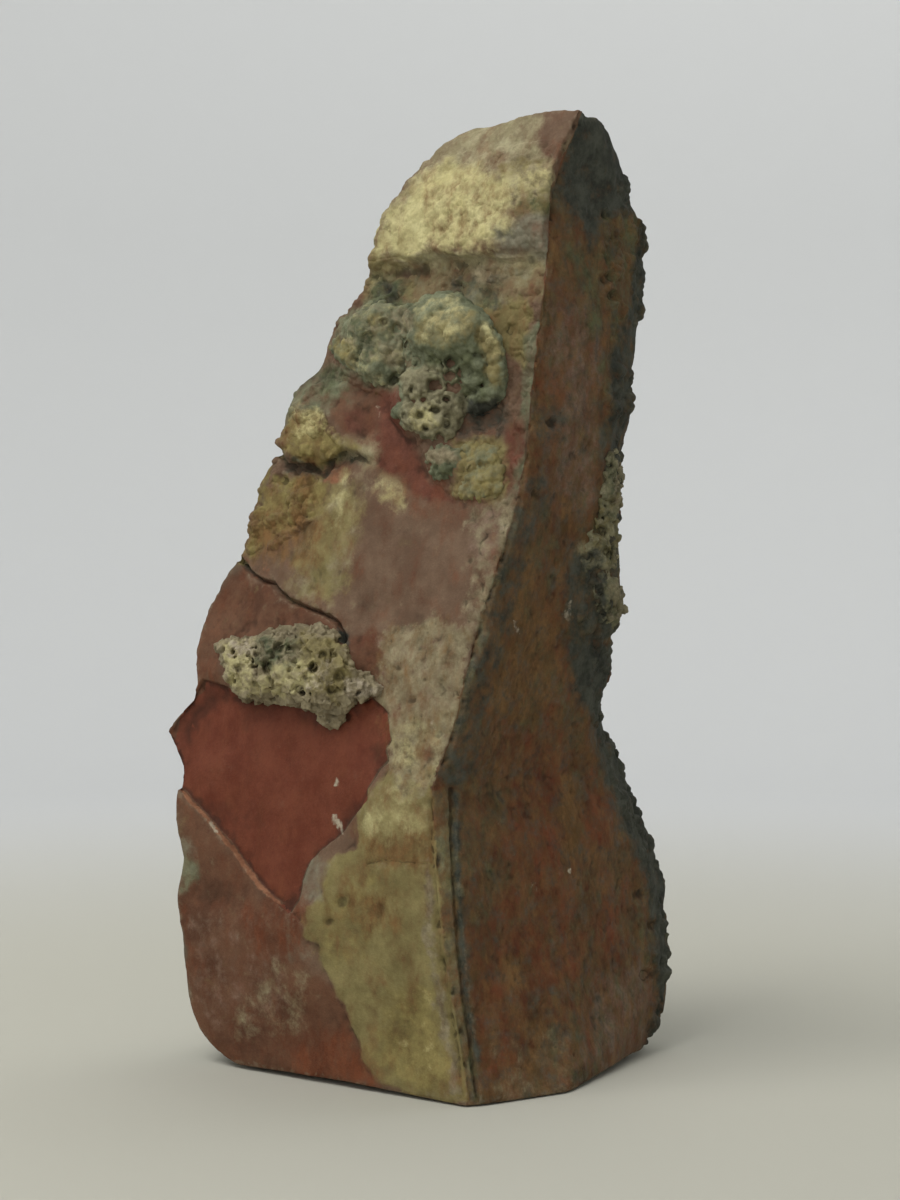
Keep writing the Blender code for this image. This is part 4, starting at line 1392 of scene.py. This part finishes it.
def step(tree, value, low, high):
    """A smooth step from 0 at low to 1 at high."""
    return put(tree, "ShaderNodeMapRange", {0: value, 1: low, 2: high, 3: 0.0, 4: 1.0},
               interpolation_type="SMOOTHSTEP").outputs[0]


def cloud(tree, place, scale, detail, roughness):
    """Noise from 0 to 1 with so many features to a metre."""
    inputs = {"Vector": place, "Scale": scale, "Detail": detail, "Roughness": roughness}
    return put(tree, "ShaderNodeTexNoise", inputs).outputs[0]


def speckle(tree, place, grain, detail=3.0, roughness=0.6):
    """Noise from 0 to 1 with features of a size in millimetres."""
    return cloud(tree, place, 1 / (grain * MM), detail, roughness)


def stored(tree, name):
    """A number stored on the mesh."""
    return put(tree, "ShaderNodeAttribute", attribute_name=name).outputs["Fac"]


COLOUR, NUMBER, VECTOR = "NodeSocketColor", "NodeSocketFloat", "NodeSocketVector"


def new_group(name, inputs, outputs):
    """An empty node group with its sockets: (name, kind, default) going in and (name, kind) coming out."""
    group = bpy.data.node_groups.new(name, "ShaderNodeTree")
    for label, kind, default in inputs:
        socket = group.interface.new_socket(label, in_out="INPUT", socket_type=kind)
        if default is not None:
            socket.default_value = default
    for label, kind in outputs:
        group.interface.new_socket(label, in_out="OUTPUT", socket_type=kind)
    entry = group.nodes.new("NodeGroupInput")
    return group, entry.outputs, group.nodes.new("NodeGroupOutput").inputs


def linear(colour):
    """A screen colour as the shaders take it."""
    return (*(c / 12.92 if c <= 0.04045 else ((c + 0.055) / 1.055) ** 2.4 for c in colour), 1)


def mineral_group():
    """Lays one mineral over a colour: solid inside its patches, with a wandering, mottled edge."""
    group, entry, leave = new_group(
        "mineral layer",
        [("Under", COLOUR, None), ("Level", NUMBER, -FAR_LEVEL), ("Place", VECTOR, None),
         ("Scale", NUMBER, 400.0), ("Waver", NUMBER, 0.8), ("Soft", NUMBER, 0.5), ("Dark", COLOUR, None),
         ("Light", COLOUR, None)],
        [("Color", COLOUR), ("Mask", NUMBER)])
    edge = cloud(group, entry["Place"], entry["Scale"], 5.0, 0.66)
    spread = times(group, math_node(group, "SUBTRACT", edge, 0.5), 3.6)
    level = plus(group, entry["Level"], times(group, spread, entry["Waver"]))
    mask = step(group, level, times(group, entry["Soft"], -1.0), entry["Soft"])
    moved = put(group, "ShaderNodeVectorMath", {0: entry["Place"], 1: (0.37, 0.11, 0.53)}, operation="ADD")
    shades = cloud(group, moved.outputs[0], times(group, entry["Scale"], 0.6), 6.0, 0.72)
    shade = blend(group, step(group, shades, 0.32, 0.68), entry["Dark"], entry["Light"])
    group.links.new(blend(group, mask, entry["Under"], shade), leave["Color"])
    group.links.new(mask, leave["Mask"])
    return group


def dirt_shade_and_wear_group():
    """Darkens hollows with dirt and painted shade, and lightens bruised edges."""
    group, entry, leave = new_group(
        "painted shade, dirt and wear",
        [("Color", COLOUR, None), ("Hollow", NUMBER, 0.0), ("Dip", NUMBER, 0.0), ("Place", VECTOR, None),
         ("Dirt and shade", COLOUR, None), ("Wear", COLOUR, None), ("Amount", NUMBER, 1.0)],
        [("Color", COLOUR), ("Dirt and shade", NUMBER)])
    grain = speckle(group, entry["Place"], 1.2)
    # painted shade and dirt: the deeper a point lies below its surroundings, the darker it is
    low = step(group, plus(group, entry["Hollow"], times(group, entry["Dip"], 0.35)), 0.03, 0.3)
    low = times(group, low, between(group, grain, 0.5, 1.1), clamp=True)
    low = times(group, low, entry["Amount"], clamp=True)
    high = plus(group, times(group, entry["Hollow"], -1.0), times(group, entry["Dip"], -0.25))
    high = times(group, step(group, high, 0.05, 0.4), step(group, grain, 0.42, 0.62))
    high = times(group, high, entry["Amount"], clamp=True)
    worn = blend(group, times(group, high, 0.3), entry["Color"], entry["Wear"])
    group.links.new(blend(group, times(group, low, 0.8), worn, entry["Dirt and shade"]), leave["Color"])
    group.links.new(low, leave["Dirt and shade"])
    return group


def grain_group():
    """Fine mineral grain: a colour factor and a height."""
    group, entry, leave = new_group(
        "mineral grain", [("Place", VECTOR, None), ("Grain", NUMBER, 2500.0)],
        [("Tint", NUMBER), ("Height", NUMBER)])
    fine = cloud(group, entry["Place"], entry["Grain"], 3.0, 0.7)
    cells = put(group, "ShaderNodeTexVoronoi", {"Vector": entry["Place"], "Scale": entry["Grain"]})
    broad = speckle(group, entry["Place"], 3.0, 4.0)
    height = plus(group, fine, times(group, cells.outputs["Distance"], -0.35))
    tint = plus(group, between(group, fine, -0.18, 0.2), between(group, broad, -0.16, 0.18))
    group.links.new(tint, leave["Tint"])
    group.links.new(height, leave["Height"])
    return group


def use_group(tree, group, inputs):
    """Places a node group and gives back what it puts out."""
    return put(tree, "ShaderNodeGroup", inputs, node_tree=group).outputs


def shared_groups():
    """The node groups that every material uses, made once."""
    makers = {"mineral layer": mineral_group, "painted shade, dirt and wear": dirt_shade_and_wear_group, "mineral grain": grain_group}
    return {name: bpy.data.node_groups.get(name) or make() for name, make in makers.items()}


def start_material(name):
    """A new material with its tree, its shader and the place on the object that patterns read."""
    material = bpy.data.materials.new(name)
    material.use_nodes = True
    tree = material.node_tree
    place = put(tree, "ShaderNodeTexCoord").outputs["Object"]
    return material, tree, tree.nodes["Principled BSDF"], place


def both_tones(colours, name):
    """A mineral's darker and lighter tone."""
    return [linear(getattr(colours, f"{name}_{shade}")) for shade in ("dark", "light")]


def two_tones(tree, colours, name, share):
    """A mineral's darker tone turning into its lighter one."""
    return blend(tree, share, *both_tones(colours, name))


def lay_minerals(tree, groups, colour, places, colours, settings):
    """Lays minerals over a colour in order, and gives back the colour and each mineral's mask."""
    masks = {}
    for name, (kind, grain, waver, soft) in settings.items():
        dark, light = both_tones(colours, name)
        out = use_group(tree, groups["mineral layer"], {
            "Under": colour, "Level": stored(tree, name), "Place": places[kind], "Scale": 1 / (grain * MM),
            "Waver": waver, "Soft": soft, "Dark": dark, "Light": light})
        colour, masks[name] = out["Color"], out["Mask"]
    return colour, masks


BUMP_STRENGTH, BUMP_DEPTH = 0.6, 0.12  # of the finest grain, in every material


def finish_material(tree, groups, shader, colour, place, colours, roughness, grain, dirt):
    """Adds grain, dirt and painted shade in hollows, and wear, and joins everything to the shader."""
    grains = use_group(tree, groups["mineral grain"], {"Place": place, "Grain": 1 / (grain * MM)})
    lifted = plus(tree, grains["Tint"], 1.0)
    tint = put(tree, "ShaderNodeCombineColor", {0: lifted, 1: lifted, 2: lifted}).outputs[0]
    colour = blend(tree, 1.0, colour, tint, "MULTIPLY")
    worn = use_group(tree, groups["painted shade, dirt and wear"], {
        "Color": colour, "Hollow": stored(tree, "hollow"), "Dip": stored(tree, "dip"), "Place": place,
        "Dirt and shade": linear(colours.dirt), "Wear": linear(colours.wear), "Amount": dirt})
    tree.links.new(worn["Color"], shader.inputs["Base Color"])
    dull = plus(tree, roughness, times(tree, worn["Dirt and shade"], 0.15), clamp=True)
    tree.links.new(dull, shader.inputs["Roughness"])
    bumps = put(tree, "ShaderNodeBump", {
        "Height": grains["Height"], "Strength": BUMP_STRENGTH, "Distance": BUMP_DEPTH * MM})
    tree.links.new(bumps.outputs[0], shader.inputs["Normal"])


def skin_material(colours):
    """The stone's own skin: three grounds, the minerals over them, grain, dirt and painted shade in hollows,
    and wear.
    """
    groups = shared_groups()
    material, tree, shader, place = start_material("jasper_skin")
    drawn = put(tree, "ShaderNodeMapping", {"Vector": place, "Scale": (1, 1, 0.6)}).outputs[0]
    ground = two_tones(tree, colours, "ground", step(tree, speckle(tree, place, 8.0, 6.0, 0.65), 0.34, 0.66))
    streaks = plus(tree, times(tree, speckle(tree, drawn, 2.2, 6.0, 0.75), 0.4),
                   times(tree, speckle(tree, place, 8.0, 7.0, 0.72), 0.6))
    bark = two_tones(tree, colours, "bark", step(tree, streaks, 0.37, 0.63))
    rind = two_tones(tree, colours, "rind", step(tree, speckle(tree, place, 9.0, 7.0, 0.7), 0.36, 0.66))
    colour = blend(tree, stored(tree, "right_face"), ground, bark)
    colour = blend(tree, stored(tree, "front_face"), rind, colour)
    patterns = {"even": place, "streaked": drawn}
    colour, masks = lay_minerals(tree, groups, colour, patterns, colours, SKIN_LAYERS)
    clean = math_node(tree, "MAXIMUM", masks["jasper"], times(tree, masks["crimson"], 0.7))
    roughness = between(tree, clean, 0.78, 0.55)
    finish_material(tree, groups, shader, colour, place, colours, roughness, grain=0.45, dirt=0.9)
    shader.inputs["Specular IOR Level"].default_value = 0.15
    return material


def crust_material(name, colours, ground, roughness):
    """A crust: one ground with its minerals, grain, and dirt and painted shade in its hollows."""
    groups = shared_groups()
    material, tree, shader, place = start_material(name)
    mottling = speckle(tree, place, 4.0, 6.0, 0.7)
    colour = two_tones(tree, colours, ground, step(tree, mottling, 0.32, 0.66))
    colour, _ = lay_minerals(tree, groups, colour, {"even": place}, colours, CRUST_LAYERS)
    roughness = between(tree, mottling, roughness, roughness + 0.15)
    finish_material(tree, groups, shader, colour, place, colours, roughness, grain=0.35, dirt=0.85)
    shader.inputs["Specular IOR Level"].default_value = 0.25
    return material


# Stage


FLOOR_RADIUS, WALL_BEND, WALL_HEIGHT = 0.62, 0.35, 1.3  # in metres, as the lamps' places and widths are
BEND_STEPS, FLOOR_STEPS = 10, 96
# The soft lamps: (place, what it faces, width)
KEY_LAMP = ((-0.45, -0.35, 0.95), (0, 0, 0.1), 0.6)
FILL_LAMP = ((-0.15, -0.8, 0.35), (0, 0, 0.1), 0.7)
WALL_LAMP = ((0.25, 0.3, 1.1), (0.15, 0.97, 0.2), 0.6)
SKY_COLOUR = (0.93, 0.96, 1.0, 1)


def build_stage(stage):
    """A pale floor that curves up into a wall all round and takes on its colour."""
    profile = [(0.0, 0.0), (FLOOR_RADIUS, 0.0)]
    profile += [(FLOOR_RADIUS + WALL_BEND * math.sin(a), WALL_BEND * (1 - math.cos(a)))
                for a in (math.radians(90 / BEND_STEPS * turn) for turn in range(1, BEND_STEPS + 1))]
    profile.append((FLOOR_RADIUS + WALL_BEND, WALL_HEIGHT))
    bm = bmesh.new()
    verts = [bm.verts.new((x, 0, z)) for x, z in profile]
    edges = [bm.edges.new(pair) for pair in zip(verts, verts[1:])]
    bmesh.ops.spin(bm, geom=verts + edges, cent=(0, 0, 0), axis=(0, 0, 1), angle=2 * math.pi,
                   steps=FLOOR_STEPS, use_merge=True)
    bmesh.ops.remove_doubles(bm, verts=bm.verts, dist=1e-5)
    bmesh.ops.recalc_face_normals(bm, faces=bm.faces)
    mesh = bpy.data.meshes.new("floor")
    bm.to_mesh(mesh)
    bm.free()
    mesh.shade_smooth()
    material, tree, shader, place = start_material("pale_stage")
    away = put(tree, "ShaderNodeVectorMath", {0: place}, operation="LENGTH").outputs["Value"]
    colour = blend(tree, step(tree, away, 0.1, FLOOR_RADIUS), linear(stage.floor), linear(stage.wall))
    tree.links.new(colour, shader.inputs["Base Color"])
    shader.inputs["Roughness"].default_value = 0.9
    shader.inputs["Specular IOR Level"].default_value = 0.2
    mesh.materials.append(material)
    floor = new_object("floor", mesh)


def add_lamp(name, place, target, width, power):
    """A square soft lamp that faces a point."""
    lamp = bpy.data.lights.new(name, "AREA")
    lamp.size = width
    lamp.energy = power
    stand = new_object(name, lamp)
    stand.location = place
    stand.rotation_euler = (Vector(target) - Vector(place)).to_track_quat("-Z", "Y").to_euler()
    stand.visible_camera = False


def add_lights(stage):
    """Three soft lamps and an even sky."""
    add_lamp("key", *KEY_LAMP, stage.key_power)
    add_lamp("fill", *FILL_LAMP, stage.fill_power)
    add_lamp("wall", *WALL_LAMP, stage.wall_power)
    world = bpy.data.worlds.new("studio")
    world.use_nodes = True
    light = world.node_tree.nodes["Background"]
    light.inputs["Color"].default_value = SKY_COLOUR
    light.inputs["Strength"].default_value = stage.sky
    bpy.context.scene.world = world
    bpy.context.scene.view_settings.view_transform = "Standard"


def add_camera():
    """The camera of the view, level with the middle of the stone."""
    camera = bpy.data.cameras.new("view")
    camera.lens = VIEW_LENS
    camera.sensor_width = VIEW_SENSOR
    camera.sensor_fit = "AUTO"
    camera.clip_start = 0.01
    stand = new_object("view", camera)
    stand.location = Vector(VIEW_PLACE) * MM
    stand.rotation_euler = (math.radians(90), 0, 0)
    bpy.context.scene.camera = stand


# Operators


def dress(piece, material):
    """Gives a finished piece its material and its place in the object."""
    piece.data.materials.clear()
    piece.data.materials.append(material)
    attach(piece, "root")


class STONE_OT_body(bpy.types.Operator):
    """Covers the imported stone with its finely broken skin"""

    bl_idname = "stone.body"
    bl_label = "Stone skin"

    def execute(self, context):
        body = build_body(context.scene.stone_shape)
        dress(body, skin_material(context.scene.stone_colours))
        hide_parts("stone")
        return {"FINISHED"}


class STONE_OT_rough_skins(bpy.types.Operator):
    """Raises the rough skins on the cap, the neck, the left rim and the right edge"""

    bl_idname = "stone.rough_skins"
    bl_label = "Rough skins"

    def execute(self, context):
        material = bpy.data.materials.get("jasper_skin") or skin_material(context.scene.stone_colours)
        for name in ROUGH_SKINS:
            dress(build_rough_skin(name, context.scene.stone_shape), material)
        return {"FINISHED"}


class STONE_OT_upper_crust(bpy.types.Operator):
    """Grows the pebbly green and cream crust high on the left face"""

    bl_idname = "stone.upper_crust"
    bl_label = "Upper crust"

    def execute(self, context):
        crust = build_upper_crust(context.scene.crust_shape)
        dress(crust, crust_material("pebbly_crust", context.scene.stone_colours, "sage", 0.7))
        return {"FINISHED"}


class STONE_OT_lower_crust(bpy.types.Operator):
    """Grows the crystal crust above the red facet"""

    bl_idname = "stone.lower_crust"
    bl_label = "Lower crust"

    def execute(self, context):
        crust = build_lower_crust(context.scene.crust_shape)
        dress(crust, crust_material("crystal_crust", context.scene.stone_colours, "pale", 0.6))
        return {"FINISHED"}


class STONE_OT_edge_crust(bpy.types.Operator):
    """Grows the grainy crust on the right edge"""

    bl_idname = "stone.edge_crust"
    bl_label = "Edge crust"

    def execute(self, context):
        crust = build_edge_crust(context.scene.crust_shape)
        dress(crust, crust_material("grainy_crust", context.scene.stone_colours, "grit", 0.75))
        return {"FINISHED"}


class STONE_OT_stage(bpy.types.Operator):
    """Sets up the pale floor, the soft lamps and the camera"""

    bl_idname = "stone.stage"
    bl_label = "Stage"

    def execute(self, context):
        build_stage(context.scene.stone_stage)
        add_lights(context.scene.stone_stage)
        add_camera()
        return {"FINISHED"}


OPERATORS = (STONE_OT_stage, STONE_OT_body, STONE_OT_rough_skins, STONE_OT_upper_crust, STONE_OT_lower_crust,
             STONE_OT_edge_crust)
GROUPS = {"stone_shape": StoneShape, "crust_shape": CrustShape, "stone_colours": StoneColours,
          "stone_stage": StageSettings}


class STONE_PT_tools(bpy.types.Panel):
    """Lists the steps that make the viewing stone"""

    bl_label = "Viewing stone"
    bl_idname = "STONE_PT_tools"
    bl_space_type = "VIEW_3D"
    bl_region_type = "UI"
    bl_category = "Stone"

    def draw(self, context):
        for operator in OPERATORS:
            self.layout.operator(operator.bl_idname)
        for name in GROUPS:
            box = self.layout.box()
            box.label(text=name.replace("_", " ").capitalize())
            settings = getattr(context.scene, name)
            for setting in settings.bl_rna.properties.keys():
                if setting not in ("name", "rna_type"):
                    box.prop(settings, setting)


def register():
    """Adds the classes to Blender and the settings to every scene."""
    for cls in (*GROUPS.values(), *OPERATORS, STONE_PT_tools):
        bpy.utils.register_class(cls)
    for name, cls in GROUPS.items():
        setattr(bpy.types.Scene, name, bpy.props.PointerProperty(type=cls))


def unregister():
    """Takes them out again."""
    for name in GROUPS:
        delattr(bpy.types.Scene, name)
    for cls in (STONE_PT_tools, *reversed(OPERATORS), *reversed(GROUPS.values())):
        bpy.utils.unregister_class(cls)


def main():
    """Makes everything in order."""
    register()
    bpy.ops.stone.stage()
    bpy.ops.stone.body()
    bpy.ops.stone.rough_skins()
    bpy.ops.stone.upper_crust()
    bpy.ops.stone.lower_crust()
    bpy.ops.stone.edge_crust()
    bpy.data.meshes.remove(bpy.data.meshes["base_skin"])


if __name__ == "__main__":
    main()
